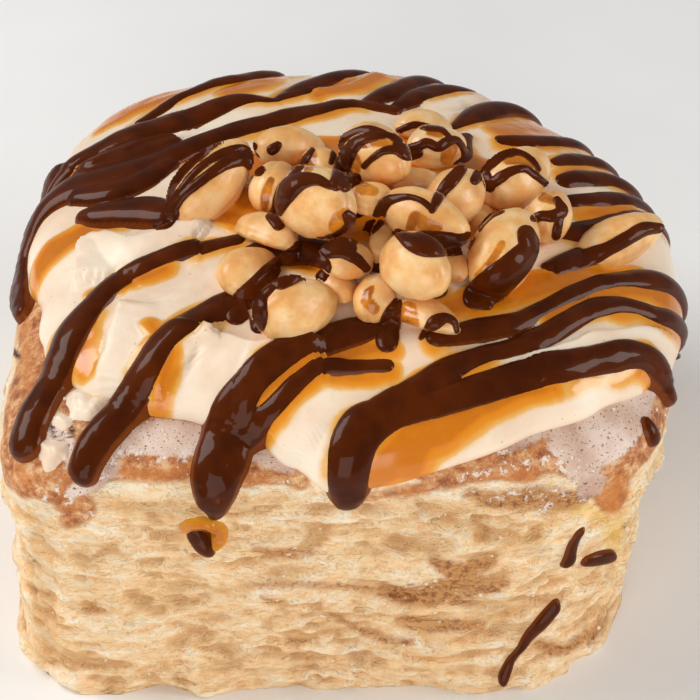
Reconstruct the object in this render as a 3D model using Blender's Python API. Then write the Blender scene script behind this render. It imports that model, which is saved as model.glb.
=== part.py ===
"""A caramel cinnamon roll: torn bread, cream frosting with chocolate strands, and a heap of peanuts.

Sizes are in millimetres, and MM turns them into metres as each mesh is made.
The torn front of the roll faces -Y, and it stands on its flat base.
"""

import math

import bmesh
import bpy
import numpy as np
from mathutils import Euler, Vector, noise

MM = 0.001
GAP = 0.3
CUT_GAP = 0.345
WELD_DISTANCE = 0.01

# Roll seen from above: its reach from the middle of the top, and how square each corner is
RIGHT_REACH = 50.5
LEFT_REACH = 50.0
BACK_REACH = 52.3
FRONT_REACH = 48.0
SQUARE_FRONT_LEFT = 8.0
SQUARE_FRONT_RIGHT = 4.0
SQUARE_BACK_RIGHT = 1.95
SQUARE_BACK_LEFT = 2.75
SIDE_BLEND = 1.2

# Roll seen from the side
SHOULDER_HEIGHT = 37.0
DOME_RISE = 14.0
DOME_SQUARE = 3.0
RIGHT_TAPER = 0.07
TAPER_HEIGHT = 14.0
LEFT_FLARE = 0.035
TAPER_BLEND = 0.8

# Middle of the top, in the frame whose origin is below the middle of the whole piece
MAP_ORIGIN = Vector((-1.1, -2.95, 0.0))

# Torn sides
TORN_DEPTH = 1.5
TORN_TOP = 40.0
TORN_FULL = 33.0
CORNER_STRIP_DEPTH = 1.6
CORNER_STRIP_START = 196.0
CORNER_STRIP_FADE = 18.0
CORNER_STRIP_END = 229.0
CORNER_STRIP_STEP = 3.0
CORNER_STRIP_TOP = 10.0
NOISE_WIDTH = 13.0
NOISE_HEIGHT = 4.2

# Frosting
FROSTING_THICK = 4.8
HEAP_MOUND = 4.0
HEAP_MIDDLE = Vector((3.0, -3.0))
HEAP_REACH = 21.0
LIP_ROUND = 7.0
FROSTING_ROOT = 1.5

# Distance down from the top to the frosting's edge, by angle round the roll in degrees
RIM = (
    (0, 58), (20, 59), (40, 58), (60, 61), (76, 65), (92, 62), (108, 64), (124, 63), (140, 59),
    (152, 54), (164, 50.5), (176, 50), (186, 49), (195, 47), (205, 49), (214, 50.5), (222, 50),
    (230, 48), (244, 44.5), (254, 44), (262, 47), (269, 50), (278, 49.5), (288, 49), (302, 49.5),
    (316, 52), (327, 54.5), (336, 56), (348, 57),
)

# Chocolate strands: across, along and half width at each bend, laid on the unrolled top
STRANDS = (
    (
        (-49.5, -10, 1), (-51, -4, 1.7), (-51, 4, 2.1), (-48, 10, 2.4), (-42, 12.5, 3.2),
        (-35, 12, 3.8), (-30, 14, 3.2), (-25, 17.5, 2.6), (-19, 21.5, 2.2), (-11, 25, 2.3),
        (-4, 28.5, 2.2), (2, 31, 1.8), (9, 29.5, 1.3),
    ),
    (
        (-46, 16.5, 1.2), (-41, 20.5, 2.3), (-35, 23, 3.1), (-29, 25, 3), (-22, 28.5, 2.5),
        (-16, 32, 1.9), (-10, 32, 1),
    ),
    (
        (-32, 28.5, 0.9), (-28.5, 32, 1.3), (-25, 36, 1.5), (-21.5, 40, 2.1), (-17, 43, 2.4),
        (-12, 48, 2), (-9, 54, 1.2),
    ),
    (
        (-9.5, 33, 1.2), (-7, 36, 2.2), (-3.5, 40.5, 2.1), (1, 46, 1.9), (6, 52, 1.6),
    ),
    (
        (4, 31, 1.2), (7, 34.5, 2.2), (10, 38.5, 2.4), (13, 43.5, 2.2), (17, 48, 1.7), (20, 53, 1.3),
    ),
    (
        (10, 31, 1.6), (13.5, 36, 2.6), (17.5, 40, 2.1), (22, 43, 1.5),
    ),
    (
        (18.5, 24, 1), (21, 27.5, 2), (23.5, 31.5, 2.7), (27, 35.5, 2.3), (32, 39, 1.8), (37, 43, 1.3),
    ),
    (
        (26, 20.5, 1.5), (30, 21.5, 2.1), (34, 24, 2), (38, 27.5, 1.6), (43, 32, 1.2),
    ),
    (
        (34, 15.5, 1.2), (36.5, 18, 1.8), (40, 21, 1.7), (45, 24.5, 1.2),
    ),
    (
        (35, 10.5, 1.6), (38.5, 13, 2.3), (42.5, 15.5, 2.1), (47.5, 18, 1.5), (52, 22, 1.1),
    ),
    (
        (36, 5.5, 1.6), (39.5, 7, 1.8), (43, 9.5, 1.8), (47, 12.5, 1.4), (52, 15, 1.1),
    ),
    (
        (33, -4, 1.5), (36, -3, 2.5), (39.5, -0.5, 2.3), (43, 3, 2.1), (47, 7, 1.9), (52, 10, 1.5),
    ),
    (
        (31, -13, 1.5), (34, -11, 2.2), (36, -8.5, 1.8),
    ),
    (
        (14, -29, 1.6), (20, -27.2, 2), (25, -25.5, 1.8), (29.5, -22, 1.5), (34, -18.2, 1.6),
        (38.5, -14.5, 1.8), (44, -11, 2), (49, -8, 2.1), (54, -6.5, 2.2), (60, -7, 1.6),
    ),
    (
        (6, -40, 2), (10.5, -37.7, 2.2), (15.5, -34.2, 2), (20, -31.8, 1.7), (25.5, -29.6, 1.7),
        (29, -27.5, 1.8), (33, -24, 2), (37, -20.5, 1.9), (41, -18.5, 1.8), (46, -17.2, 1.9),
        (51, -14.5, 2), (57, -12.5, 1.6),
    ),
    (
        (1.5, -50, 2.6), (1.5, -47, 3.4), (3, -43, 3.3), (8, -40.5, 2.3), (14, -39, 2),
        (20, -36.7, 2.2), (26, -34.5, 2.3), (32.5, -32.2, 2.3), (38, -29.5, 2.1), (43, -27, 2.1),
        (47.5, -26.5, 2.1), (50.5, -28, 1.6),
    ),
    (
        (6.5, -27, 1.8), (0.5, -28.7, 2.4), (-4, -30.7, 2.3), (-8.5, -33.5, 2.4), (-12.5, -36.8, 2.5),
        (-15, -40, 3.1), (-16.3, -44.5, 3.8), (-17.8, -48, 3.1), (-19, -51.5, 1.8),
    ),
    (
        (7, -33.8, 1.1), (2, -34, 1.3), (-2, -34, 1.3), (-5.5, -36.5, 1.4), (-9, -39.7, 1.6),
        (-13, -42.5, 1.8),
    ),
    (
        (-12.5, -21.5, 2.2), (-17, -24, 2.4), (-21, -27, 2.4), (-24.5, -30, 2.3), (-27.5, -34.5, 2.4),
        (-31, -38.5, 2.5), (-34.3, -42.5, 2.4), (-36.3, -46, 2),
    ),
    (
        (-15, -10, 1.6), (-22, -11.7, 1.8), (-28, -13.6, 1.8), (-32.5, -15.8, 1.9), (-35.5, -20, 2.1),
        (-38, -24, 2.7), (-40, -28.5, 2.7), (-42, -33, 2.5), (-44, -37.5, 2.7), (-44.8, -41, 2.5),
    ),
    (
        (-37, -3, 1.2), (-34, -1.6, 2.6), (-30, -0.9, 3.2), (-26.5, -1, 2.6),
    ),
)

# Chocolate on the torn sides: the same, with the distance running on down the side
SIDE_DROPS = (
    (
        (-24, -56, 2.2), (-23.5, -57.6, 2.5), (-22.7, -59.4, 1.8),
    ),
    (
        (43.5, -54, 0.8), (44.5, -57, 1), (45.7, -60.5, 1.3),
    ),
    (
        (51.5, -58.5, 0.8), (55, -56.8, 1.2), (59, -55, 1.1),
    ),
    (
        (51.7, -67, 1.6), (50.5, -70, 1.9), (49, -74, 1.3), (47.5, -79, 1), (46, -82, 1.2),
    ),
    (
        (47, -31.5, 0.8), (48, -34, 1.2), (49, -37, 1.9), (49.5, -38.5, 1.6),
    ),
)
STRAND_SINK = 0.42
STRAND_STEP = 6.5
STRAND_TIP = 0.35
STRAND_TIP_REACH = 0.7
RUN_OFF_LIFT = 0.9
DROP_LIFT = 0.2

# Peanuts: middle across, along and up, turn and lift of the long axis, roll about it, length, width, half
PEANUTS = (
    (-19, 1, 60.5, 47, 24, 0, 17.5, 9.6, False),
    (-7.5, 14, 57, 27, -16, 20, 13.5, 8.5, True),
    (-10, 0, 60.5, 77, -9, 0, 12, 7.5, False),
    (-3, -12, 65.3, -47, 13, 0, 14, 11, False),
    (-9.5, -10, 58.5, -52, 16, -30, 13, 8.5, True),
    (-13, -17.5, 57, 55, -10, 25, 13, 8.5, True),
    (-5.5, -27.5, 59, 32, -6, 0, 13.5, 9.2, False),
    (1, -19.5, 60, 43, -18, 10, 10, 7.5, True),
    (0.5, -21.5, 56.5, -73, 12, 0, 9, 7, True),
    (6, 0.5, 65.5, -53, 7, 0, 14, 9.6, False),
    (15.5, 12, 59, 41, -17, 0, 12, 7.6, False),
    (4, -8.5, 64, 57, -12, 15, 9, 6.6, True),
    (11.5, 3.5, 58, 39, -16, -15, 12, 7.2, True),
    (18, -4.5, 62, 59, -2, 0, 11.5, 8.6, False),
    (13, -13.5, 64, -35, 0, 0, 15, 8.4, False),
    (6, -12.5, 59, 75, -5, 75, 10.5, 6.6, True),
    (10.5, -25, 62.8, -53, 6, 0, 12.5, 9.4, False),
    (5.5, -24, 58.5, 72, -5, 0, 10, 6.4, False),
    (16, -15, 57.5, -59, 7, 50, 11, 6.6, True),
    (24.5, -14.5, 59.5, 65, 9, 0, 16.5, 10.2, False),
    (27.5, 4.5, 59, 51, -4, 0, 14.5, 9.6, False),
    (32, -5, 59, 72, -2, 0, 11, 7.2, False),
    (43, -4, 52.5, 34, 5, 10, 17, 8.8, True),
    (12.5, -27.5, 56, -43, 14, -35, 12, 8.2, True),
    (14, 22.5, 55.5, 36, -23, 0, 12, 8, True),
    (-2.5, 8, 58.5, -55, 15, 0, 10, 7, True),
    (21.5, -2.5, 56, 65, -7, 30, 8, 5.5, True),
)
HALF_FLAT = 0.14
NARROW_END = 0.16

# Spacing of the heap: balls that stand in for a peanut, and how far one round moves it
BALL_REACH = 0.8
END_BALL = 0.92
HALF_BALL = 0.3
HALF_BALL_RISE = 0.2
SPREAD_ROUNDS = 10
PUSH_SHARE = 0.12
LIFT_SHARE = 0.3
REST_DEPTH = 1.6
NEAR_ROOM = 1.0

# Segments round the roll, and rings from its top to its base
BREAD_MESH = (68, 20)
FROSTING_MESH = (60, 18)
PEANUT_MESH = (10, 6)
DOME_SHARE = 0.42
SIDE_SHARE = 0.92
DOME_CROWDING = 0.25
CAP_SHARE = 0.72
CAP_CROWDING = 0.9
SHARP_ANGLE = 40.0

# Tables of the roll's surface
TOP_STEPS = 80
SIDE_STEPS = 40
ANGLE_COUNT = 720
TABLE_STEP = 0.5
TABLE_REACH = 112.0

CRUMB_COLOUR = (0.73, 0.44, 0.19, 1.0)
FROSTING_COLOUR = (0.96, 0.74, 0.53, 1.0)
PEANUT_COLOUR = (0.90, 0.48, 0.16, 1.0)


def smooth_step(x):
    x = np.clip(x, 0.0, 1.0)
    return x * x * (3.0 - 2.0 * x)


def outline_radius(angle):
    """Reach of the roll at its shoulder: a squared ellipse whose corners differ."""
    across, along = np.cos(angle), np.sin(angle)
    right = smooth_step(0.5 + SIDE_BLEND * across)
    front = smooth_step(0.5 - SIDE_BLEND * along)
    half_x = LEFT_REACH + (RIGHT_REACH - LEFT_REACH) * right
    half_y = BACK_REACH + (FRONT_REACH - BACK_REACH) * front
    front_square = SQUARE_FRONT_LEFT + (SQUARE_FRONT_RIGHT - SQUARE_FRONT_LEFT) * right
    back_square = SQUARE_BACK_LEFT + (SQUARE_BACK_RIGHT - SQUARE_BACK_LEFT) * right
    square = back_square + (front_square - back_square) * front
    return (np.abs(across / half_x) ** square + np.abs(along / half_y) ** square) ** (-1.0 / square)


def meridian(angle):
    """Points down one line of the roll, from the middle of its top to its base."""
    reach = outline_radius(angle)
    turn = np.linspace(0.0, math.pi / 2, TOP_STEPS)
    dome_radius = reach * np.sin(turn) ** (2.0 / DOME_SQUARE)
    dome_height = SHOULDER_HEIGHT + DOME_RISE * np.cos(turn) ** (2.0 / DOME_SQUARE)
    side_height = np.linspace(SHOULDER_HEIGHT, 0.0, SIDE_STEPS)[1:]
    right = smooth_step(0.5 + TAPER_BLEND * math.cos(angle))
    narrowed = RIGHT_TAPER * smooth_step((SHOULDER_HEIGHT - side_height) / TAPER_HEIGHT)
    flared = LEFT_FLARE * (1.0 - side_height / SHOULDER_HEIGHT)
    side_scale = 1.0 - right * narrowed + (1.0 - right) * flared
    radius = np.concatenate([dome_radius, np.full(len(side_height), reach)])
    scale = np.concatenate([np.ones(len(turn)), side_scale])
    height = np.concatenate([dome_height, side_height])
    return radius * scale * math.cos(angle), radius * math.sin(angle), height, len(turn) - 1


def roll_tables():
    """Points and outward normals of the plain roll, by angle and by distance down from the top."""
    distances = np.arange(0.0, TABLE_REACH, TABLE_STEP)
    angles = np.linspace(0.0, 2 * math.pi, ANGLE_COUNT, endpoint=False)
    points = np.zeros((ANGLE_COUNT, len(distances), 3))
    shoulders = np.zeros(ANGLE_COUNT)
    ends = np.zeros(ANGLE_COUNT)
    for row, angle in enumerate(angles):
        x, y, z, shoulder = meridian(angle)
        run = np.concatenate([[0.0], np.cumsum(np.hypot(np.diff(np.hypot(x, y)), np.diff(z)))])
        for axis, values in enumerate((x, y, z)):
            points[row, :, axis] = np.interp(distances, run, values)
        points[row, :, 2] -= np.maximum(0.0, distances - run[-1])
        shoulders[row] = run[shoulder]
        ends[row] = run[-1]
    round_way = np.roll(points, -2, axis=0) - np.roll(points, 2, axis=0)
    normals = np.cross(np.gradient(points, axis=1), round_way)
    normals[:, :4] = (0.0, 0.0, 1.0)
    normals /= np.linalg.norm(normals, axis=2, keepdims=True)
    return points, normals, shoulders, ends


ROLL_POINTS, ROLL_NORMALS, SHOULDERS, ENDS = roll_tables()


def read_round(values, angle):
    """Value of a list that runs once round the roll."""
    place = (angle % (2 * math.pi)) / (2 * math.pi) * len(values)
    low = int(place) % len(values)
    part = place - int(place)
    return values[low] * (1 - part) + values[(low + 1) % len(values)] * part


def read_table(table, angle, distance):
    column = min(max(distance / TABLE_STEP, 0.0), table.shape[1] - 1.001)
    low = int(column)
    part = column - low
    return read_round(table[:, low], angle) * (1 - part) + read_round(table[:, low + 1], angle) * part


def on_roll(angle, distance, lift=0.0):
    """Point of the roll's surface, or that far outside it."""
    point = Vector(read_table(ROLL_POINTS, angle, distance))
    normal = Vector(read_table(ROLL_NORMALS, angle, distance)).normalized()
    return point + normal * lift


def rim_distance(angle):
    """Distance from the top to the frosting's edge, eased between the listed angles."""
    degrees = math.degrees(angle) % 360
    stops = (*RIM, (RIM[0][0] + 360, RIM[0][1]))
    for (low, low_reach), (high, high_reach) in zip(stops, stops[1:]):
        if low <= degrees <= high:
            part = float(smooth_step((degrees - low) / (high - low)))
            return low_reach + (high_reach - low_reach) * part
    return RIM[0][1]


def frosting_lift(angle, distance):
    """Thickness of the frosting, with a round lip at its edge and a mound below the peanuts."""
    share = min(distance / rim_distance(angle), 1.0)
    x = distance * math.cos(angle) - HEAP_MIDDLE.x
    y = distance * math.sin(angle) - HEAP_MIDDLE.y
    mound = HEAP_MOUND * math.exp(-(x * x + y * y) / HEAP_REACH**2)
    return (FROSTING_THICK + mound) * (1.0 - share**LIP_ROUND) ** 0.5


def torn_relief(point):
    """Depth of the torn layers on a side: wide, flat ledges and hollows."""
    showing = float(smooth_step((TORN_TOP - point.z) / (TORN_TOP - TORN_FULL)))
    place = Vector((point.x / NOISE_WIDTH, point.y / NOISE_WIDTH, point.z / NOISE_HEIGHT))
    return showing * TORN_DEPTH * noise.noise(place)


def corner_strip(point):
    """How far the narrow face on the front left corner is set back."""
    degrees = math.degrees(math.atan2(point.y, point.x)) % 360
    near = float(smooth_step((CORNER_STRIP_END - degrees) / CORNER_STRIP_STEP))
    fades = float(smooth_step((degrees - CORNER_STRIP_START) / CORNER_STRIP_FADE))
    low = float(smooth_step((SHOULDER_HEIGHT - point.z) / CORNER_STRIP_TOP))
    return -CORNER_STRIP_DEPTH * near * fades * low


def bread_point(angle, distance, lift=0.0):
    point = on_roll(angle, distance, lift)
    outward = Vector((point.x, point.y, 0.0))
    if outward.length > 1.0 and point.z < TORN_TOP:
        point += outward.normalized() * (torn_relief(point) + corner_strip(point))
    return point


def shaped_ball(name, segments, rings, place):
    """A ball whose points are moved by place(angle, share), where share runs from its top to its bottom."""
    shell = bmesh.new()
    bmesh.ops.create_uvsphere(shell, u_segments=segments, v_segments=rings, radius=1.0)
    for vert in shell.verts:
        angle = math.atan2(vert.co.y, vert.co.x)
        share = math.acos(max(-1.0, min(1.0, vert.co.z))) / math.pi
        vert.co = (place(angle, share) + MAP_ORIGIN) * MM
    mesh = bpy.data.meshes.new(name)
    shell.to_mesh(mesh)
    shell.free()
    mesh.shade_smooth()
    item = bpy.data.objects.new(name, mesh)
    bpy.context.scene.collection.objects.link(item)
    return item


def bread_ball(name, segments, rings, lift):
    """The roll as one closed body: dome, sides and flat base, grown outward by lift."""

    def place(angle, share):
        shoulder = float(read_round(SHOULDERS, angle))
        end = float(read_round(ENDS, angle))
        if share <= DOME_SHARE:
            even = share / DOME_SHARE
            return bread_point(angle, shoulder * even * (1.0 + DOME_CROWDING * (1.0 - even)), lift)
        if share <= SIDE_SHARE:
            down = (share - DOME_SHARE) / (SIDE_SHARE - DOME_SHARE)
            return bread_point(angle, shoulder + (end - shoulder) * down, lift)
        inward = 1.0 - (share - SIDE_SHARE) / (1.0 - SIDE_SHARE)
        edge = bread_point(angle, end, lift)
        edge.z = -lift
        return Vector((edge.x * inward, edge.y * inward, -lift))

    return shaped_ball(name, segments, rings, place)


def frosting_ball():
    """The frosting as a thick cap that reaches a little into the roll."""

    def place(angle, share):
        rim = rim_distance(angle)
        if share <= CAP_SHARE:
            even = share / CAP_SHARE
            distance = rim * math.sin(even * math.pi / 2) ** CAP_CROWDING
            return on_roll(angle, distance, frosting_lift(angle, distance))
        inward = 1.0 - (share - CAP_SHARE) / (1.0 - CAP_SHARE)
        return on_roll(angle, rim * inward, -FROSTING_ROOT)

    return shaped_ball("frosting", *FROSTING_MESH, place)


def eased_route(bends):
    """The bends joined by a smooth curve, as closely spaced rows of across, along and half width."""
    rows = np.array(bends, float)
    run = np.concatenate([[0.0], np.cumsum(np.hypot(*np.diff(rows[:, :2], axis=0).T))])
    count = max(3, round(run[-1] / STRAND_STEP) + 1)
    places = np.linspace(0.0, run[-1], count)
    slopes = np.gradient(rows, run, axis=0)
    index = np.clip(np.searchsorted(run, places, side="right") - 1, 0, len(rows) - 2)
    length = (run[index + 1] - run[index])[:, None]
    part = ((places - run[index])[:, None]) / length
    start, end = rows[index], rows[index + 1]
    start_slope, end_slope = slopes[index] * length, slopes[index + 1] * length
    return (
        start * (2 * part**3 - 3 * part**2 + 1)
        + start_slope * (part**3 - 2 * part**2 + part)
        + end * (3 * part**2 - 2 * part**3)
        + end_slope * (part**3 - part**2)
    )


def strand(name, bends, lift_at):
    """A round strand laid along its bends, sunk a little into what it lies on."""
    rows = eased_route(bends)
    points = []
    for across, along, half_width in rows:
        angle, distance = math.atan2(along, across), math.hypot(across, along)
        lift = lift_at(angle, distance) - STRAND_SINK * half_width
        points.append(((on_roll(angle, distance, lift) + MAP_ORIGIN) * MM, half_width))
    for first, second in ((0, 1), (-1, -2)):
        outward = (points[first][0] - points[second][0]).normalized()
        tip = points[first][0] + outward * points[first][1] * STRAND_TIP_REACH * MM
        end = (tip, points[first][1] * STRAND_TIP)
        points = [end, *points] if first == 0 else [*points, end]
    curve = bpy.data.curves.new(name, "CURVE")
    curve.dimensions = "3D"
    curve.bevel_depth = MM
    curve.bevel_resolution = 1
    curve.use_fill_caps = True
    line = curve.splines.new("POLY")
    line.points.add(len(points) - 1)
    for spot, (place, half_width) in zip(line.points, points):
        spot.co = (*place, 1.0)
        spot.radius = half_width
    guide = bpy.data.objects.new(name, curve)
    bpy.context.scene.collection.objects.link(guide)
    mesh = bpy.data.meshes.new_from_object(guide.evaluated_get(bpy.context.evaluated_depsgraph_get()))
    bpy.data.objects.remove(guide)
    bpy.data.curves.remove(curve)
    body = bmesh.new()
    body.from_mesh(mesh)
    bmesh.ops.remove_doubles(body, verts=body.verts, dist=WELD_DISTANCE * MM)
    if body.calc_volume(signed=True) < 0.0:
        bmesh.ops.reverse_faces(body, faces=body.faces)
    body.to_mesh(mesh)
    body.free()
    mesh.name = name
    item = bpy.data.objects.new(name, mesh)
    bpy.context.scene.collection.objects.link(item)
    return item


def helper_group(name, items):
    """Moves the items into a collection of helpers for one Boolean."""
    group = bpy.data.collections.new(name)
    bpy.context.scene.collection.children.link(group)
    group.hide_render = True
    for item in items:
        bpy.context.scene.collection.objects.unlink(item)
        group.objects.link(item)
        item.display_type = "WIRE"
        item.hide_render = True
    return group


def boolean(item, group, operation, solver="EXACT"):
    """Applies one Boolean with the whole collection, then removes the collection's objects."""
    modifier = item.modifiers.new(operation.lower(), "BOOLEAN")
    modifier.operation = operation
    modifier.operand_type = "COLLECTION"
    modifier.collection = group
    modifier.solver = solver
    graph = bpy.context.evaluated_depsgraph_get()
    mesh = bpy.data.meshes.new_from_object(item.evaluated_get(graph))
    item.modifiers.clear()
    mesh.name = item.data.name
    item.data = mesh
    for helper in list(group.objects):
        bpy.data.objects.remove(helper)
    bpy.data.collections.remove(group)


def keep_largest_body(item):
    """Drops loose scraps that a Boolean leaves."""
    body = bmesh.new()
    body.from_mesh(item.data)
    unseen = set(body.verts)
    pieces = []
    while unseen:
        reached = [unseen.pop()]
        piece = []
        while reached:
            vert = reached.pop()
            piece.append(vert)
            for edge in vert.link_edges:
                other = edge.other_vert(vert)
                if other in unseen:
                    unseen.remove(other)
                    reached.append(other)
        pieces.append(piece)
    pieces.sort(key=len)
    bmesh.ops.delete(body, geom=[vert for piece in pieces[:-1] for vert in piece], context="VERTS")
    body.to_mesh(item.data)
    body.free()
    item.data.shade_smooth()
    item.data.set_sharp_from_angle(angle=math.radians(SHARP_ANGLE))


def peanut_mesh(name, length, width, is_half, grow=0.0):
    """A blanched peanut along X with one narrower end, or half of one with its flat side down."""
    body = bmesh.new()
    bmesh.ops.create_uvsphere(body, u_segments=PEANUT_MESH[0], v_segments=PEANUT_MESH[1], radius=1.0)
    for vert in body.verts:
        x, y, z = vert.co.z, vert.co.x, vert.co.y
        narrow = 1.0 - NARROW_END * x
        if is_half and z < 0.0:
            z *= HALF_FLAT
        size = Vector((length / 2 + grow, width / 2 + grow, width / 2 + grow))
        low = grow if is_half and z < 0.0 else 0.0
        vert.co = Vector((x * size.x, y * size.y * narrow, z * size.z * narrow - low)) * MM
    mesh = bpy.data.meshes.new(name)
    body.to_mesh(mesh)
    body.free()
    mesh.shade_smooth()
    return mesh


def peanut_spheres(place, turn, length, width, is_half):
    """Three balls that fill a peanut, for spacing the heap."""
    radius = width * (HALF_BALL if is_half else 0.5)
    axis = turn.to_matrix() @ Vector((1.0, 0.0, 0.0))
    up = turn.to_matrix() @ Vector((0.0, 0.0, 1.0))
    middle = place + up * (width * HALF_BALL_RISE if is_half else 0.0)
    reach = max(0.0, length / 2 - radius) * BALL_REACH
    return [(middle + axis * reach * side, radius * (1.0 if side == 0 else END_BALL)) for side in (-1, 0, 1)]


def frosting_height(x, y):
    """Height of the frosting's top over a point of the plan."""
    angle, reach = math.atan2(y, x), math.hypot(x, y)
    distance = reach
    for _ in range(3):
        point = on_roll(angle, distance, frosting_lift(angle, distance))
        distance += reach - math.hypot(point.x, point.y)
    return point.z


def spaced_heap():
    """Places of the peanuts, moved apart a little and up off the frosting, so that each rests with room."""
    places = [Vector(row[:3]) for row in PEANUTS]
    turns = [
        Euler((math.radians(row[5]), -math.radians(row[4]), math.radians(row[3])), "XYZ") for row in PEANUTS
    ]
    for _ in range(SPREAD_ROUNDS):
        balls = [
            peanut_spheres(place, turn, row[6], row[7], row[8])
            for place, turn, row in zip(places, turns, PEANUTS)
        ]
        for first in range(len(places)):
            for second in range(first + 1, len(places)):
                for ball, radius in balls[first]:
                    for other, other_radius in balls[second]:
                        apart = ball - other
                        short = radius + other_radius + GAP - apart.length
                        if short > 0.0:
                            push = apart.normalized() * short * PUSH_SHARE
                            places[first] += push
                            places[second] -= push
        for index, row in enumerate(balls):
            for ball, radius in row:
                floor = frosting_height(ball.x, ball.y) + radius - REST_DEPTH
                if ball.z < floor:
                    places[index].z += (floor - ball.z) * LIFT_SHARE
    return places, turns


def make_material(name, colour, roughness):
    material = bpy.data.materials.new(name)
    material.use_nodes = True
    surface = material.node_tree.nodes["Principled BSDF"]
    surface.inputs["Base Color"].default_value = colour
    surface.inputs["Roughness"].default_value = roughness
    surface.inputs["Metallic"].default_value = 0.0
    return material


def make_bread():
    """The roll with its torn sides, and the drops of chocolate that stuck to them."""
    bread = bread_ball("bread", *BREAD_MESH, 0.0)
    drops = [
        strand(f"drop_{index}", bends, lambda angle, distance: DROP_LIFT)
        for index, bends in enumerate(SIDE_DROPS)
    ]
    boolean(bread, helper_group("drops", drops), "UNION")
    keep_largest_body(bread)
    return bread


def make_frosting(peanuts_grown):
    """The frosting with its strands, clear of the roll below it and of the peanuts on it."""
    frosting = frosting_ball()

    def lift_at(angle, distance):
        return frosting_lift(angle, distance) if distance < rim_distance(angle) else RUN_OFF_LIFT

    strands = [strand(f"strand_{index}", bends, lift_at) for index, bends in enumerate(STRANDS)]
    boolean(frosting, helper_group("strands", strands), "UNION", "MANIFOLD")
    grown_bread = bread_ball("grown_bread", *BREAD_MESH, GAP)
    boolean(frosting, helper_group("below", [grown_bread]), "DIFFERENCE", "MANIFOLD")
    boolean(frosting, helper_group("above", peanuts_grown), "DIFFERENCE", "MANIFOLD")
    keep_largest_body(frosting)
    return frosting


def make_peanuts():
    """The peanuts of the heap, each clear of the ones before it, and grown copies to cut with."""
    places, turns = spaced_heap()
    peanuts, cutters = [], []
    for index, (place, turn, row) in enumerate(zip(places, turns, PEANUTS)):
        length, width, is_half = row[6:]
        peanut = bpy.data.objects.new(
            f"peanut_{index + 1:02d}", peanut_mesh(f"peanut_{index + 1:02d}", length, width, is_half)
        )
        cutter = bpy.data.objects.new(
            f"room_{index}", peanut_mesh(f"room_{index}", length, width, is_half, CUT_GAP)
        )
        for item in (peanut, cutter):
            bpy.context.scene.collection.objects.link(item)
            item.location = (place + MAP_ORIGIN) * MM
            item.rotation_euler = turn
        peanuts.append(peanut)
        cutters.append(cutter)
    bpy.context.view_layer.update()
    for index, peanut in enumerate(peanuts):
        length = PEANUTS[index][6]
        near = [
            cutters[other]
            for other in range(index)
            if (places[other] - places[index]).length < (PEANUTS[other][6] + length) / 2 + NEAR_ROOM
        ]
        copies = [cutter.copy() for cutter in near]
        for copy in copies:
            bpy.context.scene.collection.objects.link(copy)
        if copies:
            bpy.context.view_layer.update()
            boolean(peanut, helper_group(f"near_{index}", copies), "DIFFERENCE")
            keep_largest_body(peanut)
    return peanuts, cutters


def main():
    for item in list(bpy.data.objects):
        bpy.data.objects.remove(item)
    bread = make_bread()
    peanuts, cutters = make_peanuts()
    frosting = make_frosting(cutters)
    bread.data.materials.append(make_material("baked crumb", CRUMB_COLOUR, 0.8))
    frosting.data.materials.append(make_material("cream frosting", FROSTING_COLOUR, 0.45))
    peanut_skin = make_material("roasted peanut", PEANUT_COLOUR, 0.4)
    for peanut in peanuts:
        peanut.data.materials.append(peanut_skin)


main()
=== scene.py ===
"""Looks of a caramel cinnamon roll: torn bread, cream frosting, chocolate and caramel sauce, roasted peanuts.

Sizes in the tables are in millimetres, and MM turns them into metres as each mesh is made.
A place on the roll is an angle round it and a distance down from the middle of its top. The tables give
both as across and along, read off the top as if it were unrolled flat.
"""

import contextlib
import math

import bmesh
import bpy
import numpy as np
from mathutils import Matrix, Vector, noise
from mathutils.bvhtree import BVHTree


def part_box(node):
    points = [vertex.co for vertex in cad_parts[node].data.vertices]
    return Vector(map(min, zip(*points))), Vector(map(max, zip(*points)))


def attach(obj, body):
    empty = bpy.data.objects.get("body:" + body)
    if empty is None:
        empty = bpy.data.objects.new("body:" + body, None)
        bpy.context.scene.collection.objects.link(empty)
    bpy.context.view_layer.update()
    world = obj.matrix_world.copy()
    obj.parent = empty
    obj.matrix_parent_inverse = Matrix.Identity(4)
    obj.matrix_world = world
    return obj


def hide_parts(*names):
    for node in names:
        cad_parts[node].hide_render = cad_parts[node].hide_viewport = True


bl_info = {
    "name": "Caramel cinnamon roll",
    "version": (1, 0, 0),
    "blender": (4, 5, 0),
    "location": "View3D > Sidebar > Roll",
    "description": "Dresses the solids of a caramel cinnamon roll in crumb, cream, sauce and peanuts",
    "category": "Object",
}

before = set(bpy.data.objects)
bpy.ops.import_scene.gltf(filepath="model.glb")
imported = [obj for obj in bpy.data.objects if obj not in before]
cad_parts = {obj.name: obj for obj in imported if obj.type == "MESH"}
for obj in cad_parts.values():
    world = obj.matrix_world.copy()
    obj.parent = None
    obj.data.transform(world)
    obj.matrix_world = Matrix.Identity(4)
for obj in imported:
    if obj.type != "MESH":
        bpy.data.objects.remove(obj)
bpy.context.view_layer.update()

MM = 0.001

# Roll seen from above: its reach from the middle of the top, and how square each corner is
RIGHT_REACH = 50.5
LEFT_REACH = 50.0
BACK_REACH = 52.3
FRONT_REACH = 48.0
SQUARE_FRONT_LEFT = 8.0
SQUARE_FRONT_RIGHT = 4.0
SQUARE_BACK_RIGHT = 1.95
SQUARE_BACK_LEFT = 2.75
SIDE_BLEND = 1.2

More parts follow.
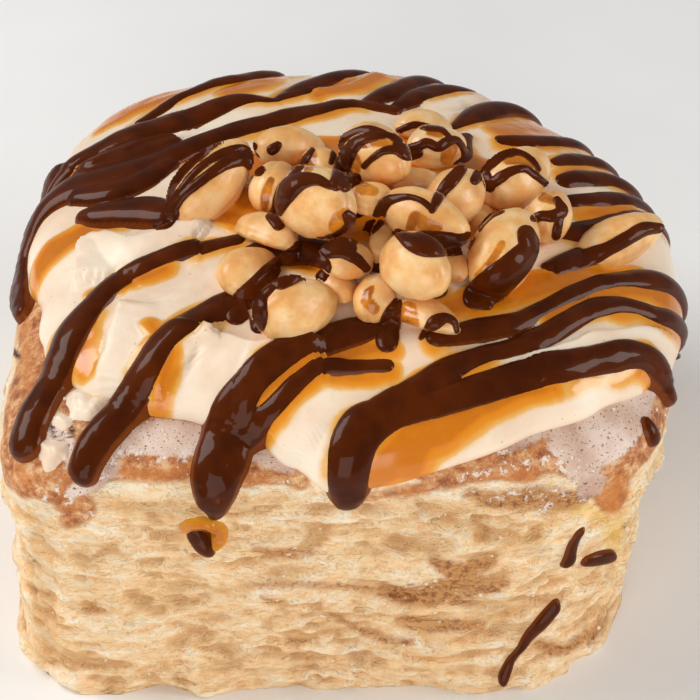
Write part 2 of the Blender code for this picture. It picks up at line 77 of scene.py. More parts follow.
# Roll seen from the side
SHOULDER_HEIGHT = 37.0
DOME_RISE = 14.0
DOME_SQUARE = 3.0
RIGHT_TAPER = 0.07
TAPER_HEIGHT = 14.0
LEFT_FLARE = 0.035
TAPER_BLEND = 0.8
MAP_ORIGIN = np.array((-1.1, -2.95, 0.0))

# Torn sides
TORN_DEPTH = 1.5
TORN_TOP = 40.0
TORN_FULL = 33.0
CORNER_STRIP_DEPTH = 1.6
CORNER_STRIP_START = 196.0
CORNER_STRIP_FADE = 18.0
CORNER_STRIP_END = 229.0
CORNER_STRIP_STEP = 3.0
CORNER_STRIP_TOP = 10.0
NOISE_WIDTH = 13.0
NOISE_HEIGHT = 4.2
LAYER_HEIGHT = 5.5

# Relief of the torn crumb: size of each kind of grain, its seed, and how sharp its steps are
LEDGES = ((11.0, 11.0, 3.8), 23, 3.0)
SHEETS = ((4.6, 4.6, 1.9), 24, 3.0)
FLAKES = ((2.2, 2.2, 1.2), 25, 2.6)
# Openings in it: size of each kind, its seed, how rare it is, and how soft its edge is
PITS = ((3.4, 3.4, 1.5), 27, 0.42, 0.15)
HOLLOWS = ((9.0, 9.0, 2.6), 28, 0.5, 0.12)

# Browned crust: its lower edge, how much lower it hangs at two places, and how ragged it is
CRUST_HEIGHT = 42.0
CRUST_LEFT_DROP = 6.0
CRUST_RIGHT_DROP = 4.5
CRUST_RAGGED = 3.2

# Frosting
FROSTING_THICK = 4.8
HEAP_MOUND = 4.0
HEAP_MIDDLE = (3.0, -3.0)
HEAP_REACH = 21.0
LIP_ROUND = 7.0
FROSTING_ROOT = 1.5
CALM_REACH = 14.0

# Distance down from the top to the frosting's edge, by angle round the roll in degrees
RIM = (
    (0, 58), (20, 59), (40, 58), (60, 61), (76, 65), (92, 62), (108, 64), (124, 63), (140, 59),
    (152, 54), (164, 50.5), (176, 50), (186, 49), (195, 47), (205, 49), (214, 50.5), (222, 50),
    (230, 48), (244, 44.5), (254, 44), (262, 47), (269, 50), (278, 49.5), (288, 49), (302, 49.5),
    (316, 52), (327, 54.5), (336, 56), (348, 57),
)

# Overlapping edges: spacing along one, how soft its step is, how far its ends fade, and how far it is felt
EDGE_STEP = 0.8
EDGE_SOFT = 0.9
EDGE_FADE = 4.0
EDGE_FELT = 28.0
# Edges where one lobe of frosting overlaps the next: across, along at each bend, with its height and reach
FROSTING_EDGES = (
    (
        ((-39, -15), (-38.5, -7), (-38, -4), (-35.5, -3.5), (-30.5, -7), (-25, -6), (-22.5, -3.5), (-18, -5)),
        2.5, 6,
    ),
    (((-31, -20), (-32, -24), (-32.5, -27), (-34, -32), (-34.5, -35)), -2.5, 5),
    (((-20, -28), (-15.5, -29.5), (-12, -30.5), (-7, -30), (-1.5, -29.5)), 2.3, 6),
    (((-25, -39), (-23.5, -34), (-21, -31), (-16.5, -31)), -2.1, 5),
    (((-16, -41), (-11, -42.5), (-8.5, -44.5), (-6, -47)), -1.4, 8),
    (((26, -31), (31, -29), (37, -25.5), (44, -21.5), (50, -19)), 1.2, 6),
    (((-46, 22), (-38, 16), (-30, 20), (-22, 24)), -0.9, 6),
    (((-5, 36), (2, 40), (6, 47)), 0.9, 5),
    (((14, 30), (20, 34), (26, 41)), -0.9, 5),
    (((36, -2), (42, 0), (49, 5)), 0.9, 5),
)

# Chocolate strands: across, along and half width at each bend
STRANDS = (
    (
        (-49.5, -10, 1.4), (-51, -4, 2.2), (-51, 4, 2.7), (-48, 10, 3.2), (-42, 12.5, 3.7), (-35, 12, 4),
        (-30, 14, 3.2), (-25, 17.5, 2.6), (-19, 21.5, 2.2), (-11, 25, 2.3), (-4, 28.5, 2.2), (2, 31, 1.8),
        (9, 29.5, 1.3),
    ),
    ((-40, 9.5, 2), (-35, 8.5, 2.8), (-30, 10.5, 2.6), (-27, 14, 2)),
    ((-39.5, 16, 2.4), (-35, 17.5, 3.4), (-30.5, 19, 3.2), (-26.5, 20.5, 2)),
    ((-43.5, 20.5, 1.5), (-46.5, 22.5, 2.4), (-49.5, 24, 2.4), (-53, 26, 1.8)),
    (
        (-46, 16.5, 1.2), (-41, 20.5, 2.3), (-35, 23, 3.1), (-29, 25, 3), (-22, 28.5, 2.5), (-16, 32, 1.9),
        (-10, 32, 1),
    ),
    (
        (-32, 28.5, 0.9), (-28.5, 32, 1.3), (-25, 36, 1.5), (-21.5, 40, 2.1), (-17, 43, 2.4), (-12, 48, 2),
        (-9, 54, 1.2),
    ),
    ((-9.5, 33, 1.2), (-7, 36, 2.2), (-3.5, 40.5, 2.1), (1, 46, 1.9), (6, 52, 1.6)),
    ((4, 31, 1.2), (7, 34.5, 2.2), (10, 38.5, 2.4), (13, 43.5, 2.2), (17, 48, 1.7), (20, 53, 1.3)),
    ((10, 31, 1.6), (13.5, 36, 2.6), (17.5, 40, 2.1), (22, 43, 1.5)),
    ((18.5, 24, 1), (21, 27.5, 2), (23.5, 31.5, 2.7), (27, 35.5, 2.3), (32, 39, 1.8), (37, 43, 1.3)),
    ((26, 20.5, 1.5), (30, 21.5, 2.1), (34, 24, 2), (38, 27.5, 1.6), (43, 32, 1.2)),
    ((34, 15.5, 1.2), (36.5, 18, 1.8), (40, 21, 1.7), (45, 24.5, 1.2)),
    ((35, 10.5, 1.6), (38.5, 13, 2.3), (42.5, 15.5, 2.1), (47.5, 18, 1.5), (52, 22, 1.1)),
    ((36, 5.5, 1.6), (39.5, 7, 1.8), (43, 9.5, 1.8), (47, 12.5, 1.4), (52, 15, 1.1)),
    ((33, -4, 1.5), (36, -3, 2.5), (39.5, -0.5, 2.3), (43, 3, 2.1), (47, 7, 1.9), (52, 10, 1.5)),
    ((31, -13, 1.5), (34, -11, 2.2), (36, -8.5, 1.8)),
    (
        (14, -29, 1.6), (20, -27.2, 2), (25, -25.5, 1.8), (29.5, -22, 1.5), (34, -18.2, 1.6),
        (38.5, -14.5, 1.8), (44, -11, 2), (49, -8, 2.1), (54, -6.5, 2.2), (60, -7, 1.6),
    ),
    (
        (6, -40, 2), (10.5, -37.7, 2.2), (15.5, -34.2, 2), (20, -31.8, 1.7), (25.5, -29.6, 1.7),
        (29, -27.5, 1.8), (33, -24, 2), (37, -20.5, 1.9), (41, -18.5, 1.8), (46, -17.2, 1.9),
        (51, -14.5, 2), (57, -12.5, 1.6),
    ),
    (
        (1.5, -50, 2.6), (1.5, -47, 3.4), (3, -43, 3.3), (8, -40.5, 2.3), (14, -39, 2), (20, -36.7, 2.2),
        (26, -34.5, 2.3), (32.5, -32.2, 2.3), (38, -29.5, 2.1), (43, -27, 2.1), (47.5, -26.5, 2.1),
        (50.5, -28, 1.6),
    ),
    (
        (6.5, -27, 1.8), (0.5, -28.7, 2.4), (-4, -30.7, 2.3), (-8.5, -33.5, 2.4), (-12.5, -36.8, 2.5),
        (-15, -40, 3.1), (-16.3, -44.5, 3.8), (-17.8, -48, 3.1), (-19, -51.5, 1.8),
    ),
    (
        (7, -33.8, 1.1), (2, -34, 1.3), (-2, -34, 1.3), (-5.5, -36.5, 1.4), (-9, -39.7, 1.6),
        (-13, -42.5, 1.8),
    ),
    (
        (-12.5, -21.5, 2.2), (-17, -24, 2.4), (-21, -27, 2.4), (-24.5, -30, 2.3), (-27.5, -34.5, 2.4),
        (-31, -38.5, 2.5), (-34.3, -42.5, 2.4), (-36.3, -46, 2),
    ),
    (
        (-15, -10, 1.6), (-22, -11.7, 1.8), (-28, -13.6, 1.8), (-32.5, -15.8, 1.9), (-35.5, -20, 2.1),
        (-38, -24, 2.7), (-40, -28.5, 2.7), (-42, -33, 2.5), (-44, -37.5, 2.7), (-44.8, -41, 2.5),
    ),
    ((-38.5, 3.6, 1.5), (-36, 3, 2.5), (-32.5, 2.4, 3), (-28.8, 1.6, 3.2), (-26.3, 0, 2.6)),
    ((-4, -7.5, 1.6), (-1, -6.5, 2.2), (3, -4.5, 2.2), (6, -2, 1.6)),
    ((2.5, 1, 1.8), (4, 8, 2), (10, 12, 2.2), (18, 12, 2), (20, 20, 1.5)),
    ((-14, -14, 1.8), (-8, -12, 2.4), (-2, -14, 2.4), (6, -16, 2), (14, -20, 1.8)),
    ((-12, 6, 1.6), (-6, 4, 2.2), (4, 2, 2.2), (14, 4, 2.4), (24, 6, 1.8)),
)

# Chocolate on the torn sides: the same, with the distance running on down the side
SIDE_DROPS = (
    ((-23.9, -57.3, 2), (-23.4, -58.4, 2), (-23.1, -59.2, 1.5)),
    ((43.6, -54.2, 0.8), (45.6, -56.4, 1), (47.6, -58.6, 1.4)),
    ((53.4, -57.6, 0.9), (57, -55.8, 1.3), (60.4, -54.2, 1.1)),
    ((51.7, -67, 1.6), (50.5, -70, 1.9), (49, -74, 1.3), (47.5, -79, 1), (46, -82, 1.2)),
    ((45.6, -35.4, 0.9), (46.7, -36.4, 1.5), (47.4, -36.9, 1.5)),
)

# How sauce lies: its lift past the frosting's lip and on the side, how far its edge dips, and its unevenness
RUN_OFF_LIFT = 0.9
RUN_OFF_LENGTH = 1.2
DROP_LIFT = 0.35
DROP_STEP = 0.2
SAUCE_DIP = 0.8
SAUCE_SHOWS = 0.1
SAUCE_MARGIN = 6.0
SAUCE_REACH = 3.5
LIP_SHIFTS = (-4.0, -3.0, -2.0, -1.0, 0.0, 1.0, 2.0)

# How chocolate drapes over the peanuts: most sag bridged, most step smoothed over, longest edge kept
MOST_BRIDGED = 2.4
MOST_STEP = 1.0
MOST_EDGE = 1.8
DRAPE_STEP = 1.1
DRAPE_MARGIN = 20.0
DRAPE_REACH = 5.0
DRAPE_EDGE = 0.35
DRAPE_UNEVEN = 0.12
DRAPE_PASSES = 60
LEAN_PASSES = 8
LEAN_TO_EYE = 0.35
COAT_WIDER = 1.25
BEHIND_STEPS = 8
BEHIND_GAP = 7.0

# Caramel pooled thinly on the frosting: across, along and half width
CARAMEL = (
    ((-38, 32, 2.5), (-30, 36, 3.5), (-22, 40, 3)),
    ((-18, 35, 2.5), (-14.5, 39, 4), (-11, 43.5, 3), (-7, 50, 2.4)),
    ((-3, 35, 2.5), (1.5, 39, 4), (6, 43.5, 3), (11, 50, 2.4)),
    ((26, 24, 3), (30, 27, 4.2), (34.5, 30.5, 3.5), (40, 35, 2.6)),
    ((34, 12, 1.5), (37.5, 14, 2.5), (41, 15.5, 1.5)),
    ((37, 2.5, 1.5), (40.5, 5, 2.5), (45, 8, 1.8)),
    ((14, -25, 2), (21, -21.5, 3.2), (28, -18, 3.4), (33, -15.5, 3), (38, -13, 2.2), (45, -9.5, 2)),
    ((30, -24, 2), (35, -20.5, 3.2), (40, -16.5, 2.5), (44, -13, 2.6), (48, -11.5, 3.5), (52, -9, 2.5)),
    ((4.5, -49, 2.5), (9, -45.5, 3.8), (14, -42, 3.3), (22, -38.5, 2.2), (30, -35.5, 1.5)),
    ((-13, -40, 1.5), (-11, -38, 1.8), (-7.5, -35.5, 2.2), (-4, -33, 2.4), (2, -31, 2.4), (7, -31, 1.8)),
    ((-35, -17, 1.8), (-30, -16, 2.2), (-25, -15, 1.8)),
    ((-37.5, -23, 1.9), (-36, -27, 2.1), (-36.5, -31, 1.8)),
    ((-46, -8, 1.5), (-43, -3, 3), (-38, 0, 2.6), (-36, 1.5, 2)),
    ((-27, -27, 1.6), (-24.5, -30.5, 2), (-24, -34, 2), (-25, -38, 1.8)),
    ((-18, -3, 1.6), (-15, -5.5, 2.4), (-12, -8, 1.8), (-8, -10, 1.6)),
    ((-19, 8, 3), (-12, 10, 5), (-4, 12, 7), (6, 14, 7), (15, 12, 6), (24, 8, 5)),
    ((-13, 0, 4), (-5, -2, 7), (5, -4, 8), (14, -3, 8), (22, 0, 6)),
)
CARAMEL_DROPS = (
    ((-25.5, -55.8, 0.8), (-23, -55, 1.2), (-20.5, -55.5, 1.6), (-20.3, -57.2, 1.3), (-21.3, -58.6, 0.8)),
)

# Smears of frosting on the bread's shoulder
SMEARS = (
    ((-37, -35, 1.5), (-36, -37, 1.6), (-34.5, -36, 1.3)),
    ((-42, -42, 0.7), (-40.5, -43.5, 1), (-41.5, -44.5, 0.7)),
    ((-40, -38, 0.5), (-39, -39, 0.5)),
    ((42, 44, 1), (40, 46, 1.4), (38, 46, 1)),
    ((-30, 50, 0.9), (-28, 52, 1.2)),
)

# Chocolate and thin caramel over the peanuts, read off the photograph in its pixels: x, y and half width
PEANUT_STRANDS = (
    (
        (163, 204, 3), (170, 188, 4), (180, 171, 5), (192, 158, 5.5), (207, 146, 4.5), (224, 137, 3),
        (238, 133, 2), (248, 138, 1.8), (255, 147, 1.8),
    ),
    (
        (169, 214, 5), (181, 198, 4), (197, 184, 4), (213, 172, 4.5), (230, 162, 5.5), (245, 159, 6),
        (258, 170, 5),
    ),
    (
        (167, 209, 3), (180, 190, 3), (194, 173, 3), (210, 160, 3.5), (228, 151, 3.5), (244, 148, 3),
        (256, 158, 3),
    ),
    ((172, 214, 6), (166, 221, 6), (158, 224, 5)),
    ((272, 150, 4.5), (275, 148, 4.5), (278, 145, 3)),
    ((312, 150, 2.5), (305, 160, 3.2), (295, 172, 3.2), (290, 179, 3)),
    ((277, 212, 5), (283, 198, 7), (292, 186, 8.5), (305, 180, 7), (318, 180, 5), (330, 186, 3)),
    ((270, 217, 4), (278, 224, 5)),
    ((348, 216, 5), (355, 228, 8), (346, 238, 9), (330, 242, 6), (314, 243, 3.5)),
    ((298, 250, 6), (284, 264, 8), (270, 277, 10), (257, 290, 11), (246, 302, 12), (236, 312, 11)),
    ((280, 279, 8), (296, 272, 8), (310, 268, 8), (322, 274, 5)),
    ((258, 300, 8), (259, 315, 8), (258, 326, 6)),
    ((300, 248, 6), (315, 256, 6), (325, 266, 5), (322, 277, 4)),
    ((326, 253, 5), (342, 253, 4.5), (355, 258, 5), (366, 268, 4)),
    ((318, 245, 5), (335, 247, 4), (352, 248, 4)),
    (
        (336, 184, 6), (342, 168, 6.5), (348, 154, 6.5), (358, 142, 5.5), (372, 137, 4), (386, 135, 3),
        (400, 140, 2.5),
    ),
    ((331, 162, 2.5), (337, 146, 3), (350, 134, 3), (366, 129, 3), (382, 132, 2.5), (396, 140, 2.5)),
    ((345, 186, 5), (356, 178, 4)),
    ((364, 166, 2.5), (373, 158, 3), (384, 151, 3.2), (396, 150, 4), (407, 155, 4.5), (418, 153, 4)),
    (
        (396, 144, 3), (407, 149, 4), (417, 147, 4), (427, 143, 4), (438, 147, 4), (447, 142, 4),
        (456, 140, 3), (463, 148, 3), (466, 158, 3.5), (460, 170, 5), (451, 181, 5.5), (443, 190, 5),
        (437, 200, 4), (432, 210, 3),
    ),
    ((398, 131, 2.5), (415, 125, 3), (430, 128, 3), (442, 130, 2.5), (450, 138, 2.5)),
    (
        (356, 233, 6), (368, 229, 6), (377, 222, 5), (381, 210, 5), (388, 201, 4.5), (398, 198, 3.5),
        (410, 197, 2.5), (422, 201, 2.5), (432, 209, 2.5),
    ),
    ((398, 233, 4), (412, 242, 7), (428, 244, 10), (446, 244, 10), (460, 244, 8), (469, 237, 4)),
    (
        (526, 234, 7), (529, 246, 9), (520, 260, 11), (508, 272, 12), (495, 283, 13), (483, 292, 12),
        (474, 298, 9), (488, 305, 4),
    ),
    ((480, 229, 2), (489, 218, 2.2), (503, 211, 1.8)),
    (
        (475, 180, 4.5), (484, 168, 5.5), (495, 158, 6), (508, 153, 4), (521, 153, 2.5), (532, 160, 2.5),
        (539, 169, 2.2),
    ),
    ((489, 186, 4), (500, 178, 4.5), (512, 171, 4), (525, 169, 3.5), (536, 176, 3), (546, 184, 3)),
    ((485, 172, 4), (490, 186, 5)),
    ((557, 200, 3), (562, 211, 5), (553, 216, 5), (542, 216, 4.5), (534, 218, 3.5)),
    ((562, 214, 3), (558, 226, 3.5), (556, 236, 4)),
    ((397, 303, 4), (392, 315, 7), (389, 328, 9), (387, 341, 9)),
    ((421, 338, 2), (428, 329, 3.5), (436, 322, 5.5), (446, 318, 4.5), (454, 322, 3), (457, 331, 2.5)),
    (
        (558, 268, 5), (572, 262, 7), (592, 256, 7), (610, 248, 6), (628, 238, 6), (645, 229, 6),
        (660, 228, 4),
    ),
)

PEANUT_CARAMEL = (
    ((313, 151, 3.5), (312, 162, 4.5), (308, 170, 4)),
    ((271, 180, 3.5), (266, 194, 5), (264, 207, 4)),
    ((338, 217, 6), (334, 227, 6), (345, 212, 5)),
    ((350, 152, 5), (356, 163, 6), (352, 176, 6)),
    ((362, 144, 5), (376, 142, 5), (392, 144, 4)),
    ((455, 146, 4), (450, 150, 7), (446, 160, 6)),
    ((430, 132, 4), (440, 134, 4)),
    ((410, 230, 5), (415, 216, 5), (425, 224, 7), (438, 227, 5)),
    ((362, 188, 7), (374, 191, 5)),
    ((372, 288, 3), (366, 298, 6), (374, 309, 6)),
    ((408, 310, 9), (409, 324, 10), (412, 334, 6)),
    ((502, 244, 4), (492, 260, 4), (478, 276, 4)),
    ((508, 160, 5), (522, 160, 5), (532, 166, 3)),
    ((543, 197, 5), (554, 201, 4)),
    ((258, 282, 4), (264, 300, 4)),
    ((296, 282, 2), (308, 274, 2)),
)

# Finish of the bread and painted shade on it, read off the photograph in its pixels: dried icing film,
# browned crust, its most orange and yellow places, dry icing powder, cinnamon, crumb greyed as painted shade,
# and dark specks
FILM = (
    ((88, 390, 8), (106, 392, 8), (112, 404, 7)),
    ((112, 452, 5), (135, 442, 12), (155, 438, 18), (180, 436, 21), (202, 438, 18)),
    ((74, 492, 7), (92, 482, 10), (112, 468, 9)),
    ((240, 440, 6), (256, 452, 9), (272, 461, 9), (290, 470, 5)),
    (
        (505, 450, 4), (525, 440, 6), (545, 428, 10), (568, 424, 16), (592, 416, 20), (618, 406, 19),
        (642, 396, 14),
    ),
    ((556, 446, 9), (580, 454, 15), (600, 444, 22), (624, 428, 18), (642, 408, 11)),
    ((580, 468, 15), (594, 482, 12), (583, 494, 7)),
    ((42, 425, 8), (60, 440, 12), (70, 458, 8)),
)

CRUST = (
    ((92, 478, 8), (112, 470, 11), (135, 468, 13), (165, 470, 13), (200, 468, 12)),
    ((52, 470, 9), (60, 486, 12), (68, 502, 14), (85, 508, 12), (68, 520, 9)),
    ((24, 460, 8), (24, 480, 9), (32, 470, 7)),
    ((226, 478, 10), (250, 476, 11), (280, 474, 10), (302, 482, 8)),
    ((340, 500, 3), (380, 495, 3), (420, 488, 6), (460, 478, 7), (490, 472, 6)),
    ((510, 456, 9), (530, 452, 10), (550, 452, 10), (565, 448, 7)),
    ((470, 478, 6), (500, 472, 9), (530, 472, 10), (545, 462, 9)),
    ((598, 488, 9), (610, 500, 14), (620, 482, 10), (628, 465, 5)),
    ((626, 455, 4), (631, 440, 4), (641, 418, 3)),
    ((653, 400, 5), (655, 385, 5)),
    ((34, 392, 13), (30, 360, 13), (27, 325, 10)),
)
ORANGE = (
    ((120, 470, 4), (150, 476, 5), (185, 470, 6)),
    ((25, 478, 5), (22, 470, 4)),
    ((50, 462, 5), (62, 484, 6), (70, 506, 6)),
    ((30, 400, 5), (27, 360, 6), (25, 330, 5)),
    ((235, 482, 5), (255, 482, 6), (275, 486, 4)),
    ((480, 476, 4), (505, 472, 7), (530, 473, 7)),
    ((500, 519, 4), (515, 525, 4)),
    ((602, 488, 7), (612, 500, 12), (618, 482, 8)),
    ((408, 493, 3), (440, 489, 3)),
)
YELLOW = (
    ((616, 528, 12), (613, 545, 9)),
    ((598, 514, 11), (580, 512, 7)),
)
POWDER = (
    ((450, 480, 3), (480, 474, 5), (510, 466, 7), (550, 462, 8), (585, 470, 6)),
    ((490, 498, 4), (520, 494, 7), (560, 490, 7)),
    ((505, 488, 5), (512, 486, 5)),
    ((535, 510, 7), (548, 507, 7)),
    ((530, 485, 4), (535, 486, 4)),
    ((530, 460, 4), (533, 462, 4)),
    ((565, 496, 5), (582, 496, 4)),
    ((468, 493, 5), (474, 494, 5)),
    ((60, 470, 5), (64, 500, 5), (78, 495, 6)),
    ((85, 515, 5), (95, 512, 4), (105, 505, 4)),
    ((112, 452, 4), (130, 452, 4), (150, 458, 4), (170, 458, 3), (188, 458, 3)),
    ((500, 455, 4), (512, 442, 4), (528, 436, 4)),
    ((80, 480, 5), (100, 475, 6), (112, 462, 5)),
    ((42, 500, 6), (46, 520, 6)),
)
SPICE = (
    ((470, 494, 6), (500, 500, 9), (535, 498, 12), (575, 500, 10)),
    ((435, 562, 6), (460, 573, 10), (490, 560, 8)),
    ((380, 590, 6), (420, 595, 10), (460, 588, 13), (500, 582, 9)),
    ((250, 586, 2), (300, 585, 3), (350, 587, 3), (400, 592, 4)),
    ((400, 620, 6), (440, 625, 8), (480, 625, 6)),
    ((330, 613, 2.5), (380, 638, 2.5), (410, 642, 3)),
    ((540, 645, 6), (560, 650, 6), (590, 633, 5)),
    ((255, 550, 3), (285, 552, 3), (310, 551, 2)),
    ((600, 620, 4), (590, 640, 5)),
    ((265, 598, 3), (285, 605, 3)),
)
# Patches where the crumb is greyed as painted shade
PAINTED_SHADE = (
    ((36, 525, 8), (40, 560, 12), (43, 600, 12), (47, 655, 10)),
    ((420, 505, 7), (450, 520, 11), (500, 535, 10), (540, 545, 7)),
    ((120, 505, 5), (160, 512, 8), (200, 508, 7), (250, 510, 6)),
    ((400, 540, 8), (450, 545, 7)),
    ((470, 605, 8), (520, 610, 9)),
)
DARK = (
    ((51, 425, 2.5), (55, 440, 2.5)),
    ((70, 422, 2), (73, 436, 2.5)),
    ((62, 432, 1.5), (66, 445, 1.5)),
    ((12, 350, 3), (18, 356, 3)),
    ((28, 292, 1.5), (27, 290, 1.5)),
    ((20, 315, 1.5), (21, 317, 1.5)),
)

# Camera fitted to the photograph, in millimetres from the middle of the map
CAMERA_ELEVATION = 40.0
CAMERA_DISTANCE = 340.0
CAMERA_TARGET = (0.0, 0.0, 24.0)
CAMERA_LENS = 107.0
SENSOR_WIDTH = 36.0
PHOTO_SIZE = 700.0
PHOTO_MIDDLE = (338.0, 372.0)
PHOTO_SCALE = CAMERA_LENS / SENSOR_WIDTH * PHOTO_SIZE / CAMERA_DISTANCE

# Tables of the plain roll: angles round it, spacing and reach of the distances, and points down each line
ANGLE_COUNT = 720
TABLE_STEP = 0.5
TABLE_REACH = 112.0
TOP_STEPS = 80
SIDE_STEPS = 40

# Grids that masks are read from, and how soft the edges of the finishes are, in pixels
PIXELS = np.arange(0.0, PHOTO_SIZE + 1.0)
MAP_STEP = 0.4
FINISH_REACH = 10.0
FINISH_SOFT = 15.0
GLAZE_REACH = 6.0
GLAZE_SOFT = 3.0

# Rings of the pieces: the share of them at which the frosting turns under, those at which the bread reaches
# its top's edge, its shoulder and its base, and how much denser both are at the front
FROSTING_CAP = 0.86
BREAD_STOPS = (0.0, 0.08, 0.3, 0.95)
DENSER_BREAD = 0.38
DENSER_FROSTING = 0.3

# Least share of the line of sight along the surface's normal at which the camera still sees a place
FACING_LEAST = 0.04

# Kernels: their smoothing, and how deep and wide the seam between the halves is
KERNEL_SMOOTHING = 40
SEAM_DEPTH = 0.16
SEAM_HALF_WIDTH = 0.32
KERNEL_INSET = 0.08

# Crumbs: how many, and the two sectors in degrees where dry icing lies on the shoulder
CRUMB_COUNT = 900
ICING_COUNT = 200
ICING_LEFT_SHARE = 0.6
ICING_LEFT = (214, 262)
ICING_RIGHT = (285, 345)

# Stage, in metres: the pale room, the point that the lamps face, and the place and size of each
WORLD_STRENGTH = 0.2
FLOOR_REACH = 2.0
LIGHT_TARGET = (0.0, 0.0, 0.03)
WINDOW = ((-0.5, 0.12, 0.52), 0.4)
FRONT_CARD = ((-0.1, -0.85, 0.25), 0.8)
RIGHT_CARD = ((0.6, -0.1, 0.3), 0.3)
RIGHT_CARD_SHARE = 0.35


def smooth_step(x):
    x = np.clip(x, 0.0, 1.0)
    return x * x * (3.0 - 2.0 * x)


def unit(vectors):
    """Vectors along the last axis, scaled to a length of one."""
    return vectors / np.maximum(np.linalg.norm(vectors, axis=-1, keepdims=True), 1e-6)


def flat_rows(across, along):
    """Places on the map as rows, with nothing for their height."""
    return np.column_stack([across, along, 0.0 * along])


def degrees_round(points):
    return np.degrees(np.arctan2(points[:, 1], points[:, 0])) % 360.0


# Random grain


def grain(points, seed=0):
    """Smooth random values from -1 to 1, one unit to a cell, at rows of points."""
    low = np.floor(points).astype(np.int64)
    part = points - low
    part = part * part * (3.0 - 2.0 * part)
    total = np.zeros(len(points))
    for corner in range(8):
        step = np.array([corner & 1, corner >> 1 & 1, corner >> 2 & 1])
        cell = low + step
        mixed = cell[:, 0] * 73856093 ^ cell[:, 1] * 19349663 ^ cell[:, 2] * 83492791 ^ seed * 49979687
        mixed = (mixed ^ mixed >> 13) * 1274126177
        mixed = (mixed ^ mixed >> 16) & 65535
        weight = np.where(step == 1, part, 1.0 - part).prod(axis=1)
        total += weight * (mixed / 32767.5 - 1.0)
    return total


def layered_grain(points, size, seed, count=3):
    """Grain of one size with finer grain added, each half as large and half as strong."""
    size = np.asarray(size, float)
    total = np.zeros(len(points))
    for level in range(count):
        total += grain(points / size * 2**level + 7.3 * level, seed + level) * 0.5**level
    return total / (2.0 - 0.5 ** (count - 1))


# Form of the roll, as its solids have it


def outline_radius(angle):
    """Reach of the roll at its shoulder: a squared ellipse whose corners differ."""
    across, along = np.cos(angle), np.sin(angle)
    right = smooth_step(0.5 + SIDE_BLEND * across)
    front = smooth_step(0.5 - SIDE_BLEND * along)
    half_x = LEFT_REACH + (RIGHT_REACH - LEFT_REACH) * right
    half_y = BACK_REACH + (FRONT_REACH - BACK_REACH) * front
    front_square = SQUARE_FRONT_LEFT + (SQUARE_FRONT_RIGHT - SQUARE_FRONT_LEFT) * right
    back_square = SQUARE_BACK_LEFT + (SQUARE_BACK_RIGHT - SQUARE_BACK_LEFT) * right
    square = back_square + (front_square - back_square) * front
    return (np.abs(across / half_x) ** square + np.abs(along / half_y) ** square) ** (-1.0 / square)


def meridian(angle):
    """Points down one line of the roll, from the middle of its top to its base."""
    reach = outline_radius(angle)
    turn = np.linspace(0.0, math.pi / 2, TOP_STEPS)
    dome_radius = reach * np.sin(turn) ** (2.0 / DOME_SQUARE)
    dome_height = SHOULDER_HEIGHT + DOME_RISE * np.cos(turn) ** (2.0 / DOME_SQUARE)
    side_height = np.linspace(SHOULDER_HEIGHT, 0.0, SIDE_STEPS)[1:]
    right = smooth_step(0.5 + TAPER_BLEND * math.cos(angle))
    narrowed = RIGHT_TAPER * smooth_step((SHOULDER_HEIGHT - side_height) / TAPER_HEIGHT)
    flared = LEFT_FLARE * (1.0 - side_height / SHOULDER_HEIGHT)
    side_scale = 1.0 - right * narrowed + (1.0 - right) * flared
    radius = np.concatenate([dome_radius, np.full(len(side_height), reach)])
    scale = np.concatenate([np.ones(len(turn)), side_scale])
    height = np.concatenate([dome_height, side_height])
    return radius * scale * math.cos(angle), radius * math.sin(angle), height, len(turn) - 1


def roll_tables():
    """Points and outward normals of the plain roll, by angle and by distance down from the top."""
    distances = np.arange(0.0, TABLE_REACH, TABLE_STEP)
    angles = np.linspace(0.0, 2 * math.pi, ANGLE_COUNT, endpoint=False)
    points = np.zeros((ANGLE_COUNT, len(distances), 3))
    shoulders = np.zeros(ANGLE_COUNT)
    ends = np.zeros(ANGLE_COUNT)
    for row, angle in enumerate(angles):
        x, y, z, shoulder = meridian(angle)
        run = np.concatenate([[0.0], np.cumsum(np.hypot(np.diff(np.hypot(x, y)), np.diff(z)))])
        for axis, values in enumerate((x, y, z)):
            points[row, :, axis] = np.interp(distances, run, values)
        points[row, :, 2] -= np.maximum(0.0, distances - run[-1])
        shoulders[row] = run[shoulder]
        ends[row] = run[-1]
    round_way = np.roll(points, -2, axis=0) - np.roll(points, 2, axis=0)
    normals = np.cross(np.gradient(points, axis=1), round_way)
    normals[:, :4] = (0.0, 0.0, 1.0)
    return points, unit(normals), shoulders, ends


ROLL_POINTS, ROLL_NORMALS, SHOULDERS, ENDS = roll_tables()


def round_place(angle):
    """The two rows of a table on each side of an angle, and how far it is between them."""
    place = (angle % (2 * math.pi)) / (2 * math.pi) * ANGLE_COUNT
    low = np.floor(place).astype(int)
    return low % ANGLE_COUNT, (low + 1) % ANGLE_COUNT, place - low


def read_round(values, angle):
    low, high, part = round_place(angle)
    return values[low] * (1.0 - part) + values[high] * part


def read_roll(table, angle, distance):
    low, high, part = round_place(angle)
    column = np.clip(distance / TABLE_STEP, 0.0, table.shape[1] - 1.001)
    left = np.floor(column).astype(int)
    rest = (column - left)[:, None]
    part = part[:, None]
    near = table[low, left] * (1.0 - part) + table[high, left] * part
    far = table[low, left + 1] * (1.0 - part) + table[high, left + 1] * part
    return near * (1.0 - rest) + far * rest


def on_roll(angle, distance, lift):
    """Points of the roll's surface, or that far outside it."""
    normals = unit(read_roll(ROLL_NORMALS, angle, distance))
    return read_roll(ROLL_POINTS, angle, distance) + normals * np.asarray(lift)[..., None]


def to_polar(across, along):
    return np.arctan2(along, across), np.hypot(across, along)


